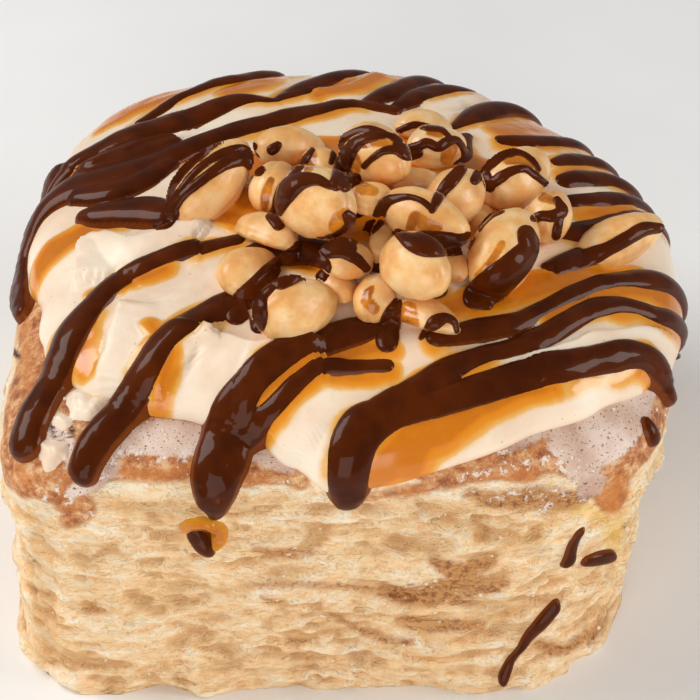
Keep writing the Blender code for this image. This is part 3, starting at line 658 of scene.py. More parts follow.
def rim_distance(angle):
    """Distance from the top to the frosting's edge, eased between the listed angles."""
    stops = np.array((*RIM, (RIM[0][0] + 360, RIM[0][1])), float)
    degrees = np.degrees(angle) % 360.0
    low = np.clip(np.searchsorted(stops[:, 0], degrees, side="right") - 1, 0, len(stops) - 2)
    part = smooth_step((degrees - stops[low, 0]) / (stops[low + 1, 0] - stops[low, 0]))
    return stops[low, 1] + (stops[low + 1, 1] - stops[low, 1]) * part


def route_points(bends, step):
    """The bends of a strand joined by a smooth curve, as closely spaced rows."""
    rows = np.array(bends, float)
    run = np.concatenate([[0.0], np.cumsum(np.hypot(*np.diff(rows[:, :2], axis=0).T))])
    places = np.linspace(0.0, run[-1], max(3, round(run[-1] / step) + 1))
    slopes = np.gradient(rows, run, axis=0)
    index = np.clip(np.searchsorted(run, places, side="right") - 1, 0, len(rows) - 2)
    length = (run[index + 1] - run[index])[:, None]
    part = (places - run[index])[:, None] / length
    return (
        rows[index] * (2 * part**3 - 3 * part**2 + 1)
        + slopes[index] * length * (part**3 - 2 * part**2 + part)
        + rows[index + 1] * (3 * part**2 - 2 * part**3)
        + slopes[index + 1] * length * (part**3 - part**2)
    )


def frosting_edges(across, along):
    """Height that the overlapping lobes of frosting add at rows of map places."""
    total = np.zeros(len(across))
    flat = flat_rows(across, along)
    wobble_across = across + 0.5 * grain(flat / 3.0, 11)
    wobble_along = along + 0.5 * grain(flat / 3.0, 12)
    for bends, height, reach in FROSTING_EDGES:
        route = route_points(bends, EDGE_STEP)
        near = np.hypot(across - route[:, 0].mean(), along - route[:, 1].mean()) < EDGE_FELT
        if not near.any():
            continue
        offset_x = wobble_across[near][:, None] - route[None, :, 0]
        offset_y = wobble_along[near][:, None] - route[None, :, 1]
        gaps = np.hypot(offset_x, offset_y)
        nearest = gaps.argmin(axis=1)
        rows = np.arange(len(nearest))
        heading = unit(np.gradient(route[:, :2], axis=0)[nearest])
        side = heading[:, 0] * offset_y[rows, nearest] - heading[:, 1] * offset_x[rows, nearest]
        side *= -np.sign(height)
        gap = gaps[rows, nearest]
        ends = np.minimum(nearest, len(route) - 1 - nearest) / EDGE_FADE
        total[near] += (
            abs(height)
            * smooth_step(0.5 + side / EDGE_SOFT)
            * np.exp(-((gap / reach) ** 2))
            * smooth_step(0.25 + ends)
        )
    return total


def frosting_relief(across, along):
    """Soft lobes, spatula marks and overlapping edges of the frosting."""
    flat = flat_rows(across, along)
    swirl = flat_rows(across * 0.82 + along * 0.57, along * 0.82 - across * 0.57)
    lobes = 0.75 * grain(flat / 17.0, 3) + 0.4 * grain(flat / 8.0, 4)
    marks = 0.22 * grain(swirl / (14.0, 3.4, 1.0), 5) + 0.1 * grain(swirl / (7.0, 1.5, 1.0), 6)
    fine = 0.05 * grain(flat / 1.3, 7)
    return lobes + marks + fine + frosting_edges(across, along)


def frosting_lift(angle, distance, with_relief=True):
    """Thickness of the frosting, with a round lip at its edge and a mound below the peanuts."""
    share = np.minimum(distance / rim_distance(angle), 1.0)
    across, along = distance * np.cos(angle), distance * np.sin(angle)
    from_heap = (across - HEAP_MIDDLE[0]) ** 2 + (along - HEAP_MIDDLE[1]) ** 2
    thick = FROSTING_THICK + HEAP_MOUND * np.exp(-from_heap / HEAP_REACH**2)
    if with_relief:
        thick = thick + frosting_relief(across, along) * (1.0 - 0.8 * np.exp(-from_heap / CALM_REACH**2))
    return thick * np.sqrt(1.0 - share**LIP_ROUND)


def torn_relief(points):
    """Broad hollows of the torn sides, as the solid has them."""
    showing = smooth_step((TORN_TOP - points[:, 2]) / (TORN_TOP - TORN_FULL))
    places = points / (NOISE_WIDTH, NOISE_WIDTH, NOISE_HEIGHT)
    seen = zip(places.tolist(), showing)
    return showing * TORN_DEPTH * [noise.noise(place) if share > 0.0 else 0.0 for place, share in seen]


def corner_strip(points):
    """How far the narrow face on the front left corner is set back."""
    degrees = degrees_round(points)
    near = smooth_step((CORNER_STRIP_END - degrees) / CORNER_STRIP_STEP)
    fades = smooth_step((degrees - CORNER_STRIP_START) / CORNER_STRIP_FADE)
    low = smooth_step((SHOULDER_HEIGHT - points[:, 2]) / CORNER_STRIP_TOP)
    return -CORNER_STRIP_DEPTH * near * fades * low


def crust_height(points):
    """Height where the browned crust ends and the torn crumb starts."""
    x, y = points[:, 0], points[:, 1]
    left_corner = smooth_step((-x - 34.0) / 8.0) * smooth_step((-y - 34.0) / 8.0)
    right = smooth_step((x - 20.0) / 25.0)
    ragged = layered_grain(points * (1, 1, 0.2), (7.0, 7.0, 7.0), 31, 3)
    return CRUST_HEIGHT - CRUST_LEFT_DROP * left_corner - CRUST_RIGHT_DROP * right + CRUST_RAGGED * ragged


def stepped_grain(points, size, seed, sharp):
    """Grain whose slopes are drawn together into steps."""
    return np.tanh(sharp * grain(points / size, seed))


def openings(points, size, seed, rare, soft):
    """Scattered holes: 1 inside, 0 outside."""
    return smooth_step((grain(points / size, seed) - rare) / soft)


def crumb_relief(points):
    """Outward relief of the torn crumb and of its crust, and how deep in the crumb each place lies, which the
    material paints as shade in the hollows.
    """
    x, y, z = points.T
    bed = z + 1.8 * grain(points / (19.0, 19.0, 11.0), 21) + 0.7 * grain(points / (6.0, 6.0, 5.0), 22)
    beds = np.column_stack([x, y, bed])
    layer = (bed / LAYER_HEIGHT + 1.1 * grain(points / (17.0, 17.0, 12.0), 35)) % 1.0
    shelves = layer * smooth_step((1.0 - layer) / 0.2)
    shelves *= smooth_step(0.5 + 1.6 * grain(beds / (9.0, 9.0, 5.0), 36))
    ledges, sheets, flakes = (stepped_grain(beds, *kind) for kind in (LEDGES, SHEETS, FLAKES))
    threads = grain(beds / (1.1, 1.1, 0.75), 26)
    pits, hollows = (openings(beds, *kind) for kind in (PITS, HOLLOWS))
    torn = smooth_step((crust_height(points) - z) / 2.0)
    soft = 0.45 + 0.55 * smooth_step(0.5 + grain(points / (16.0, 16.0, 9.0), 34))
    relief = (1.2 * shelves - 0.4 + 0.22 * ledges + 0.34 * sheets + 0.3 * flakes + 0.26 * threads) * soft
    push = torn * (relief - 0.8 * pits * soft - 0.8 * hollows)
    crust = (1.0 - torn) * (0.3 * layered_grain(points, 4.0, 29, 3) + 0.1 * grain(points / 0.9, 30))
    raised = 1.4 * shelves - 0.4 + 0.2 * ledges + 0.7 * sheets + 0.7 * flakes + 0.5 * threads
    # How deep each place lies: higher in pits and hollows and where the crumb is not raised; it darkens the
    # crumb's colour as painted shade
    deep = 0.45 - 0.36 * raised + 0.4 * np.maximum(pits, hollows)
    return push + crust, torn * np.clip(deep, 0.0, 1.0)


def bread_surface(angle, distance, lift=0.0):
    """Points of the bread with all its relief, and how deep in the crumb each lies, for painted shade in the
    hollows.
    """
    points = on_roll(angle, distance, np.zeros(len(angle)) + lift)
    outward = points * (1.0, 1.0, 0.0)
    reach = np.linalg.norm(outward, axis=1)
    outward /= np.maximum(reach, 1.0)[:, None]
    side = smooth_step((reach - 8.0) / 12.0)
    push = torn_relief(points) + corner_strip(points)
    fine, deep = crumb_relief(points)
    fine *= 1.0 - sample_map(CALM_PLACES, angle, distance)
    low = smooth_step((6.0 - points[:, 2]) / 6.0) * 1.2 * grain(points * (1, 1, 0) / 7.0, 33)
    return points + outward * ((push + fine + low) * side)[:, None], deep


# Meshes


def put_in_scene(name, data):
    item = bpy.data.objects.new(name, data)
    bpy.context.scene.collection.objects.link(item)
    return item


def mesh_of(body, name):
    """A new mesh from a bmesh, which is then freed."""
    mesh = bpy.data.meshes.new(name)
    body.to_mesh(mesh)
    body.free()
    return mesh


@contextlib.contextmanager
def editing(mesh):
    """Opens a mesh as a bmesh, and writes it back."""
    body = bmesh.new()
    body.from_mesh(mesh)
    yield body
    body.to_mesh(mesh)
    body.free()


def grid_mesh(name, columns, rows, size=1.0):
    sheet = bmesh.new()
    bmesh.ops.create_grid(sheet, x_segments=columns - 1, y_segments=rows - 1, size=size)
    return mesh_of(sheet, name)


def read_places(mesh):
    """A mesh's vertices as rows, in its own units."""
    places = np.empty(len(mesh.vertices) * 3, np.float32)
    mesh.vertices.foreach_get("co", places)
    return places.reshape(-1, 3).astype(float)


def set_places(mesh, places):
    """Moves a mesh's vertices to rows of millimetres on the map, and shades it smooth."""
    mesh.vertices.foreach_set("co", ((places + MAP_ORIGIN) * MM).astype(np.float32).ravel())
    mesh.update()
    mesh.shade_smooth()


def paint(mesh, name, *channels):
    """Stores up to four masks as one colour attribute on the vertices."""
    values = np.zeros((len(mesh.vertices), 4), np.float32)
    for index, channel in enumerate(channels):
        values[:, index] = channel
    mesh.color_attributes.new(name, "FLOAT_COLOR", "POINT").data.foreach_set("color", values.ravel())


def ball_mesh(name, segments, rings, denser_front):
    """A sheet to be closed into a ball, with the angle of each vertex and its share of the way down."""
    mesh = grid_mesh(name, segments + 1, rings + 1)
    x, y, _ = read_places(mesh).T
    angle = math.pi * np.round((x + 1.0) * segments / 2.0) * 2.0 / segments
    angle = angle - denser_front * np.sin(angle + math.pi / 2)
    return mesh, angle, np.clip((1.0 - y) / 2.0, 0.0, 1.0)


def close_ball(mesh):
    """Joins the sheet's two side edges and draws its ends together, facing out."""
    with editing(mesh) as body:
        bmesh.ops.remove_doubles(body, verts=body.verts, dist=1e-7)
        if body.calc_volume(signed=True) < 0.0:
            bmesh.ops.reverse_faces(body, faces=body.faces)
    mesh.shade_smooth()


def add_piece(name, mesh, material, *nodes, slot):
    """Puts a finished piece in the scene with its material, and joins it to the frame."""
    item = put_in_scene(name, mesh)
    mesh.materials.clear()
    mesh.materials.append(material)
    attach(item, "root")
    if nodes:
        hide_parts(*nodes)
    return item


# Materials


def linear(colour):
    """A hex sRGB colour as linear RGBA."""
    parts = [int(colour[place : place + 2], 16) / 255.0 for place in (1, 3, 5)]
    return (*(part / 12.92 if part <= 0.04045 else ((part + 0.055) / 1.055) ** 2.4 for part in parts), 1.0)


def add_node(tree, kind, settings=None, sockets=None):
    """Adds a node, sets its settings, and fills its sockets with values or with links."""
    node = tree.nodes.new(kind)
    for name, value in (settings or {}).items():
        setattr(node, name, value)
    for name, value in (sockets or {}).items():
        if isinstance(value, bpy.types.NodeSocket):
            tree.links.new(value, node.inputs[name])
        else:
            node.inputs[name].default_value = value
    return node


def new_material(name, **surface):
    """A material with its Principled surface, and the object coordinates that its patterns read."""
    material = bpy.data.materials.new(name)
    material.use_nodes = True
    tree = material.node_tree
    shader = tree.nodes["Principled BSDF"]
    for socket, value in surface.items():
        shader.inputs[socket.replace("_", " ")].default_value = value
    return material, tree, shader, tree.nodes.new("ShaderNodeTexCoord").outputs["Object"]


def finish(material, tree, shader, **sockets):
    """Links what the patterns give to the surface's sockets."""
    for name, value in sockets.items():
        tree.links.new(value, shader.inputs[name.replace("_", " ")])
    return material


def pattern(tree, coords, size, detail=3.0, stretch=(1, 1, 1), rough=0.55):
    """Noise of a given size in millimetres, stretched along an axis where asked."""
    mapped = add_node(tree, "ShaderNodeMapping", None, {"Vector": coords, "Scale": stretch}).outputs[0]
    sockets = {"Vector": mapped, "Scale": 1.0 / (size * MM), "Detail": detail, "Roughness": rough}
    return add_node(tree, "ShaderNodeTexNoise", None, sockets).outputs["Fac"]


def ramp(tree, value, *stops):
    """Colours or greys along a value: pairs of place and hex colour or number."""
    node = add_node(tree, "ShaderNodeValToRGB", None, {"Fac": value})
    bar = node.color_ramp.elements
    while len(bar) < len(stops):
        bar.new(0.5)
    for element, (place, colour) in zip(bar, stops):
        element.position = place
        element.color = linear(colour) if isinstance(colour, str) else (colour, colour, colour, 1.0)
    return node.outputs["Color"]


def combine(tree, operation, first, second, third=0.5):
    node = add_node(tree, "ShaderNodeMath", {"operation": operation}, {0: first, 1: second, 2: third})
    return node.outputs[0]


def mix(tree, share, first, second, blend="MIX"):
    sockets = {0: share, 6: first, 7: second}
    return add_node(tree, "ShaderNodeMix", {"data_type": "RGBA", "blend_type": blend}, sockets).outputs[2]


def bump(tree, height, strength, depth, under=None):
    sockets = {"Height": height, "Strength": strength, "Distance": depth * MM}
    if under is not None:
        sockets["Normal"] = under
    return add_node(tree, "ShaderNodeBump", None, sockets).outputs["Normal"]


def read_masks(tree, name):
    """The four masks of a colour attribute, as sockets."""
    node = add_node(tree, "ShaderNodeVertexColor", {"layer_name": name})
    parts = add_node(tree, "ShaderNodeSeparateColor", None, {"Color": node.outputs["Color"]}).outputs
    return parts[0], parts[1], parts[2], node.outputs["Alpha"]


def ragged_mask(tree, mask, pattern_value, spread, edge=0.12):
    """A mask whose soft edge breaks up along a pattern."""
    shifted = combine(tree, "MULTIPLY_ADD", pattern_value, spread, combine(tree, "ADD", mask, -0.5 * spread))
    return ramp(tree, shifted, (0.5 - edge, 0.0), (0.5 + edge, 1.0))


def bread_material():
    """Enriched wheat crumb torn along its layers, with a browned crust and dried icing on its shoulder, and
    shade painted into its hollows.
    """
    # Crumb scatters light, so it is matte; only the egg-washed crust has a dull shine
    material, tree, shader, coords = new_material(
        "pulled wheat crumb", Roughness=0.82, Subsurface_Weight=0.1, Subsurface_Scale=0.0015,
        Subsurface_Radius=(1.0, 0.6, 0.35),
    )
    # The finish's fourth mask is painted shade, darkening the crumb where it lies deep in its hollows
    crust_mask, film_mask, spice_mask, recess_shade_mask = read_masks(tree, "finish")
    # The fourth mask of this second set is painted shade that greys the crumb
    orange_mask, yellow_mask, powder_mask, painted_shade_mask = read_masks(tree, "finish_more")
    dark_mask = read_masks(tree, "dark")[0]
    sheets = pattern(tree, coords, 5.0, 4.0, (1, 1, 2.4), 0.65)
    flakes = pattern(tree, coords, 2.0, 5.0, (1, 1, 1.6), 0.7)
    crumbs = pattern(tree, coords, 0.9, 4.0, (1, 1, 1.3), 0.7)
    clouds = pattern(tree, coords, 9.0, 3.0)
    dust = pattern(tree, coords, 0.4, 1.0)
    # The crumb is painted paler where its bump pattern rises and darker where it sinks, and darker still
    # where it lies deep: painted light on the flakes and painted shade between them
    level = combine(tree, "MULTIPLY_ADD", sheets, 0.4, combine(tree, "MULTIPLY_ADD", flakes, 0.6, -0.5))
    lit = combine(tree, "MULTIPLY_ADD", recess_shade_mask, -0.18, combine(tree, "ADD", level, 0.59))
    crumb = ramp(tree, lit, (0.36, "#e9b67c"), (0.44, "#f6ca95"), (0.53, "#fddbac"), (0.63, "#ffecce"))
    crumb = mix(tree, ramp(tree, clouds, (0.5, 0.0), (0.66, 0.35)), crumb, linear("#f8ca8a"))
    # Darker where the fine crumb bump sinks, as painted shade in its small pits
    crumb = mix(tree, ramp(tree, crumbs, (0.32, 0.4), (0.45, 0.0)), crumb, linear("#deae78"))
    # Painted shade: the crumb is greyed where it lies in shadow
    crumb = mix(tree, painted_shade_mask, crumb, linear("#e2d2ba"), "MULTIPLY")
    # Painted shade: darker brown where the crumb lies deepest
    crumb = mix(tree, ramp(tree, recess_shade_mask, (0.62, 0.0), (1.0, 0.5)), crumb, linear("#be8a56"))
    spice = mix(tree, ramp(tree, crumbs, (0.42, 0.85), (0.52, 0.2)), linear("#d89c5c"), linear("#8f4c20"))
    spice_share = combine(tree, "MULTIPLY", ragged_mask(tree, spice_mask, flakes, 1.6, 0.3), 0.95)
    crumb = mix(tree, spice_share, crumb, spice)
    yellow_share = combine(tree, "MULTIPLY", yellow_mask, 0.6)
    crumb = mix(tree, yellow_share, crumb, linear("#f4c465"))
    layers = pattern(tree, coords, 7.0, 3.0, (1, 1, 2.6), 0.6)
    terraces = ramp(
        tree, layers, (0.4, 0.0), (0.408, 0.25), (0.46, 0.3), (0.468, 0.5),
        (0.52, 0.55), (0.528, 0.75), (0.58, 0.8), (0.588, 1.0),
    )
    # Darker on the lower steps of the terraces, as painted shade under each flake's edge
    crumb = mix(tree, ramp(tree, terraces, (0.0, 0.3), (0.5, 0.0)), crumb, linear("#e2b47c"))
    streaks = pattern(tree, coords, 2.4, 5.0, (1, 1, 1.3), 0.72)
    crust = ramp(tree, streaks, (0.36, "#8c421a"), (0.45, "#b66a32"), (0.54, "#d6945a"), (0.64, "#eec494"))
    crust = mix(tree, combine(tree, "MULTIPLY", orange_mask, 0.7), crust, linear("#d37e30"))
    colour = mix(tree, ragged_mask(tree, crust_mask, streaks, 1.5, 0.22), crumb, crust)
    film = ramp(tree, clouds, (0.38, "#c9a18b"), (0.5, "#dcbba6"), (0.64, "#eed5c4"))
    specks = ramp(tree, dust, (0.3, 0.85), (0.37, 0.0))
    film = mix(tree, specks, film, linear("#54301f"))
    grit = pattern(tree, coords, 1.3, 5.0, (1, 1, 1), 0.75)
    film_share = ragged_mask(tree, film_mask, grit, 1.7, 0.16)
    colour = mix(tree, film_share, colour, film)
    powder_level = combine(tree, "MULTIPLY_ADD", film_mask, 0.35, powder_mask)
    powder_share = combine(tree, "MULTIPLY", ramp(tree, grit, (0.51, 0.0), (0.6, 1.0)), powder_level)
    powder_share = ramp(tree, powder_share, (0.25, 0.0), (0.6, 0.95))
    colour = mix(tree, powder_share, colour, linear("#f6e3d2"))
    colour = mix(tree, ragged_mask(tree, dark_mask, crumbs, 0.8), colour, linear("#4a2413"))
    roughness = ramp(tree, crust_mask, (0.3, 0.85), (0.8, 0.5))
    rough_share = ramp(tree, film_share, (0.0, 1.0), (1.0, 0.3))
    relief = bump(tree, combine(tree, "MULTIPLY", level, rough_share), 0.5, 0.8)
    crumb_share = combine(tree, "MULTIPLY", rough_share, ramp(tree, crust_mask, (0.3, 1.0), (0.8, 0.2)))
    steps = combine(tree, "ADD", terraces, -0.5)
    relief = bump(tree, combine(tree, "MULTIPLY", steps, crumb_share), 0.8, 1.0, relief)
    small = combine(tree, "ADD", crumbs, -0.5)
    relief = bump(tree, combine(tree, "MULTIPLY", small, rough_share), 0.6, 0.45, relief)
    relief = bump(tree, powder_share, 0.5, 0.2, relief)
    relief = bump(tree, dust, 0.4, 0.1, relief)
    return finish(material, tree, shader, Base_Color=colour, Roughness=roughness, Normal=relief)


def frosting_material(colour_text):
    """Whipped cream cheese frosting, stained where thin caramel pools on it."""
    # Fat and sugar give a soft, wide highlight, and light goes a little way in
    material, tree, shader, coords = new_material(
        "whipped cream frosting", Roughness=0.42, Subsurface_Weight=0.2, Subsurface_Scale=0.0018,
        Subsurface_Radius=(1.0, 0.6, 0.35), Coat_Roughness=0.08, IOR=1.45,
    )
    clouds = pattern(tree, coords, 12.0, 3.0)
    colour = ramp(tree, clouds, (0.35, "#f4d6b8"), (0.5, colour_text), (0.68, "#fdead2"))
    specks = ramp(tree, pattern(tree, coords, 0.9, 1.0), (0.2, 0.5), (0.25, 0.0))
    colour = mix(tree, specks, colour, linear("#b08a68"))
    # Clear caramel darkens with depth, and its skin shines
    stain = combine(tree, "ADD", read_masks(tree, "stain")[0], -0.15)
    uneven = combine(tree, "MULTIPLY_ADD", pattern(tree, coords, 3.0, 3.0), 0.3, stain)
    caramel = ramp(
        tree, uneven, (0.1, "#f5cf9c"), (0.3, "#f0b45c"), (0.55, "#ea9626"), (0.8, "#e88a14"),
        (1.0, "#d4780c"),
    )
    share = ramp(tree, uneven, (0.04, 0.0), (0.3, 1.0))
    colour = mix(tree, share, colour, caramel)
    roughness = ramp(tree, share, (0.2, 0.42), (0.9, 0.2))
    coat = ramp(tree, share, (0.3, 0.0), (0.9, 0.25))
    matte = ramp(tree, share, (0.2, 1.0), (0.8, 0.1))
    relief = bump(tree, combine(tree, "MULTIPLY", pattern(tree, coords, 2.5, 3.0), matte), 0.25, 0.5)
    fine = combine(tree, "MULTIPLY", pattern(tree, coords, 0.5, 2.0), matte)
    relief = bump(tree, fine, 0.15, 0.1, relief)
    return finish(
        material, tree, shader, Base_Color=colour, Roughness=roughness, Coat_Weight=coat, Normal=relief
    )


def chocolate_material():
    """Milk chocolate sauce: dark, opaque and glossy, with a redder thin edge."""
    # Sugar syrup and cocoa butter set to a smooth skin, so highlights are sharp
    material, tree, shader, coords = new_material(
        "chocolate sauce", Roughness=0.4, Specular_IOR_Level=0.2, Specular_Tint=linear("#d0824c"),
        Coat_Weight=0.24, Coat_Roughness=0.04, IOR=1.4,
    )
    depth = read_masks(tree, "depth")[0]
    body = ramp(tree, pattern(tree, coords, 5.0, 2.0), (0.35, "#401602"), (0.65, "#542002"))
    colour = mix(tree, ramp(tree, depth, (0.05, 0.8), (0.3, 0.0)), body, linear("#7a3a10"))
    relief = bump(tree, pattern(tree, coords, 4.0, 1.0), 0.1, 0.3)
    return finish(material, tree, shader, Base_Color=colour, Normal=relief)


def caramel_material():
    """Thin caramel sauce: clear amber over crumb, paler where it thins out."""
    # Cooked sugar is clear, so depth makes the colour
    material, tree, shader, coords = new_material(
        "caramel sauce", Roughness=0.18, Specular_Tint=linear("#e8a860"),
        Coat_Weight=0.4, Coat_Roughness=0.05, IOR=1.48,
    )
    depth = combine(tree, "ADD", read_masks(tree, "depth")[0], -0.15)
    uneven = combine(tree, "MULTIPLY_ADD", pattern(tree, coords, 3.0, 2.0), 0.3, depth)
    colour = ramp(tree, uneven, (0.0, "#d8942e"), (0.3, "#d0841a"), (0.6, "#c87208"), (1.0, "#a85802"))
    return finish(material, tree, shader, Base_Color=colour)


def peanut_material():
    """Blanched, oil-roasted peanut kernel: smooth and waxy, browned in patches, glazed where caramel ran."""
    # Roasting oil leaves a soft shine, and the kernel is slightly see-through at its edges
    material, tree, shader, coords = new_material(
        "roasted peanut", Roughness=0.34, Coat_Weight=0.15, Coat_Roughness=0.25,
        Subsurface_Weight=0.15, Subsurface_Scale=0.0015, Subsurface_Radius=(1.0, 0.5, 0.2), IOR=1.47,
    )
    roast, glaze = read_masks(tree, "roast")[:2]
    patches = pattern(tree, coords, 5.0, 4.0)
    colour = ramp(tree, patches, (0.35, "#e8a55c"), (0.5, "#f5bf7a"), (0.66, "#fbd49c"))
    # The first mask browns the roasted tip and patches, and darkens the seam as painted shade in its crease
    colour = mix(tree, ramp(tree, roast, (0.2, 0.0), (1.0, 0.8)), colour, linear("#c07c38"))
    freckles = ramp(tree, pattern(tree, coords, 0.7, 2.0), (0.28, 0.3), (0.36, 0.0))
    colour = mix(tree, freckles, colour, linear("#cf8b45"))
    syrup = ramp(tree, pattern(tree, coords, 3.0, 2.0), (0.35, "#a95a10"), (0.65, "#dd8a24"))
    share = ragged_mask(tree, glaze, patches, 0.5, 0.3)
    colour = mix(tree, share, colour, syrup)
    roughness = ramp(tree, share, (0.2, 0.34), (0.8, 0.12))
    bare = ramp(tree, share, (0.0, 1.0), (0.7, 0.2))
    relief = bump(tree, combine(tree, "MULTIPLY", pattern(tree, coords, 1.4, 3.0), bare), 0.3, 0.2)
    return finish(material, tree, shader, Base_Color=colour, Roughness=roughness, Normal=relief)


def icing_material():
    """Dry icing crumbs on the crust."""
    # Sugar dries to a dull, chalky grain that still lets a little light in
    material, tree, shader, coords = new_material(
        "dried icing", Roughness=0.6, Subsurface_Weight=0.15, Subsurface_Scale=0.001
    )
    colour = ramp(tree, pattern(tree, coords, 1.2, 3.0), (0.35, "#e6c9b0"), (0.6, "#f7e6d2"))
    relief = bump(tree, pattern(tree, coords, 0.4, 2.0), 0.5, 0.1)
    return finish(material, tree, shader, Base_Color=colour, Normal=relief)


def stage_material():
    """Plain matte paper sweep."""
    # Uncoated paper has no shine
    material, tree, shader, coords = new_material("pale paper sweep", Roughness=0.9)
    colour = ramp(tree, pattern(tree, coords, 40.0, 2.0), (0.3, "#f4f3f1"), (0.7, "#f8f7f5"))
    return finish(material, tree, shader, Base_Color=colour)


# Sauce


def stroke_field(columns, rows, strokes, profile, margin, unevenness=0.0):
    """The highest value of a profile over a grid, for strokes given as x, y and half width at each bend."""
    field = np.full((len(rows), len(columns)), -margin)
    step = columns[1] - columns[0]
    corner = np.array((columns[0], rows[0]))
    for number, bends in enumerate(strokes):
        route = route_points(bends, 1.5 * step)
        places = np.column_stack([route[:, :2], np.full(len(route), 50.0 * number)])
        places /= 2.5 * route[:, 2].mean()
        widths = route[:, 2] * (1.0 + unevenness * (grain(places, 41) + 0.5 * grain(places * 2.3, 42)))
        for (x, y), width in zip(route[:, :2], widths):
            reach = width + margin
            near, far = (((x, y) + side - corner) / step for side in (-reach, reach))
            across, along = (slice(max(0, int(low)), int(high) + 2) for low, high in zip(near, far))
            gap = np.hypot(columns[None, across] - x, rows[along, None] - y)
            if gap.size:
                field[along, across] = np.maximum(field[along, across], profile(gap, width))
    return field


def stroke_grid(strokes, margin, step):
    """Columns and rows of a grid that holds all the strokes, with a margin round them."""
    bends = np.array([bend[:2] for stroke in strokes for bend in stroke], float)
    low, high = bends.min(axis=0) - margin, bends.max(axis=0) + margin
    return np.arange(low[0], high[0], step), np.arange(low[1], high[1], step)


def rounded_profile(gap, width, height, roundness, dip):
    """A section with a rounded top, whose edge dips away."""
    inside = height * np.maximum(1.0 - (gap / width) ** 2, 0.0) ** roundness
    return inside - dip * np.maximum(gap - width, 0.0)


def strand_profile(gap, width):
    """A thick strand: rounded on top, its edge dipping under what it lies on."""
    return rounded_profile(gap, width, np.minimum(0.55 * width, 0.75 + 0.2 * width), 0.7, 2.0)


def coat_profile(gap, width):
    """A thin coat of sauce over a peanut, in pixels of the photograph."""
    return rounded_profile(gap, width, np.minimum(0.5 * width, 1.6 + 0.22 * width), 0.6, 1.5)


def smear_profile(gap, width):
    """A low, ragged smear."""
    return np.minimum(0.5, 0.6 * (width - gap))


def inset_profile(gap, width):
    return width - gap


def sample_grid(field, line, x, y):
    """Values between the points of a square grid whose columns and rows stand at the places of one line."""
    step = line[1] - line[0]
    place_x, place_y = (np.clip((value - line[0]) / step, 0.0, len(line) - 1.001) for value in (x, y))
    left, low = place_x.astype(int), place_y.astype(int)
    part_x, part_y = place_x - left, place_y - low
    near = field[low, left] * (1.0 - part_x) + field[low, left + 1] * part_x
    far = field[low + 1, left] * (1.0 - part_x) + field[low + 1, left + 1] * part_x
    return near * (1.0 - part_y) + far * part_y


def sample_map(mask, angle, distance):
    return sample_grid(*mask, distance * np.cos(angle), distance * np.sin(angle))


def map_mask(strokes, wider, soft):
    """A mask over the unrolled roll: 1 inside the strokes made that much wider, 0 outside."""
    line = np.arange(-100.0, 100.0, MAP_STEP)
    field = stroke_field(line, line, strokes, inset_profile, wider + soft + 1.0)
    return smooth_step(0.5 + (field + wider) / soft), line


CALM_PLACES = map_mask(SIDE_DROPS, 1.4, 1.6)


def photo_masks(points, facing, *tables):
    """Masks of finish and of painted shade at points of the bread, from readings in the photograph.

    The camera sees the front. The other sides take the same readings, turned round the roll.
    """
    sight = Sight()
    insets = [stroke_field(PIXELS, PIXELS, table, inset_profile, FINISH_REACH) for table in tables]
    fields = [smooth_step(0.5 + inset / FINISH_SOFT) for inset in insets]
    masks = np.zeros((len(tables), len(points)))
    degrees = degrees_round(points)
    for turn in range(4):
        angle = math.radians(90.0 * turn)
        turned = points.copy()
        turned[:, 0] = points[:, 0] * math.cos(angle) - points[:, 1] * math.sin(angle)
        turned[:, 1] = points[:, 0] * math.sin(angle) + points[:, 1] * math.cos(angle)
        x, y, _ = sight.seen(turned)
        sector = (degrees + 90.0 * turn - 225.0) % 360.0 < 90.0
        chosen = facing if turn == 0 else sector & ~facing
        for index, field in enumerate(fields):
            masks[index, chosen] = sample_grid(field, PIXELS, x[chosen], y[chosen])
    return masks


def keep_faces(mesh, kept, whole=False, longest=1e9):
    """Keeps the faces that touch a kept vertex, or hold only such, and drops loose points."""
    with editing(mesh) as body:
        dropped = []
        for face in body.faces:
            found = [kept[vert.index] for vert in face.verts]
            if not (all(found) if whole else any(found)):
                dropped.append(face)
            elif whole and max(edge.calc_length() for edge in face.edges) > longest * MM:
                dropped.append(face)
        bmesh.ops.delete(body, geom=dropped, context="FACES")
        bmesh.ops.delete(body, geom=[vert for vert in body.verts if not vert.link_faces], context="VERTS")


def sauce_on_map(name, strokes, step, on_side=False, profile=strand_profile, unevenness=0.1, rough=0.0):
    """Sauce laid over the frosting and down the bread, its edges dipping under what it lies on."""
    columns, rows = stroke_grid(strokes, SAUCE_MARGIN, step)
    depth = stroke_field(columns, rows, strokes, profile, SAUCE_REACH, unevenness).ravel()
    across, along = (part.ravel() for part in np.meshgrid(columns, rows))
    angle, distance = to_polar(across, along)
    if rough:
        depth += rough * layered_grain(flat_rows(across, along), 1.6, 43, 3)
    if on_side:
        carrier = np.zeros(len(depth))
        carried = DROP_LIFT
    else:
        carrier = frosting_lift(angle, distance)
        hung = sum(frosting_lift(angle, np.maximum(distance + shift, 0.0), False) for shift in LIP_SHIFTS)
        past = smooth_step(0.5 + (distance - rim_distance(angle)) / RUN_OFF_LENGTH)
        carried = np.maximum(carrier + past * RUN_OFF_LIFT, hung / len(LIP_SHIFTS))
    lift = np.maximum(carried + depth, carrier - SAUCE_DIP)
    kept = lift > carrier - SAUCE_SHOWS
    places = on_roll(angle, distance, lift)
    low_down = np.flatnonzero(on_side | (distance > rim_distance(angle) - 1.0))
    if len(low_down):
        places[low_down] = bread_surface(angle[low_down], distance[low_down], lift[low_down])[0]
    mesh = grid_mesh(name, len(columns), len(rows))
    set_places(mesh, places)
    paint(mesh, "depth", np.clip(depth, 0.0, 1.0))
    keep_faces(mesh, kept)
    return mesh


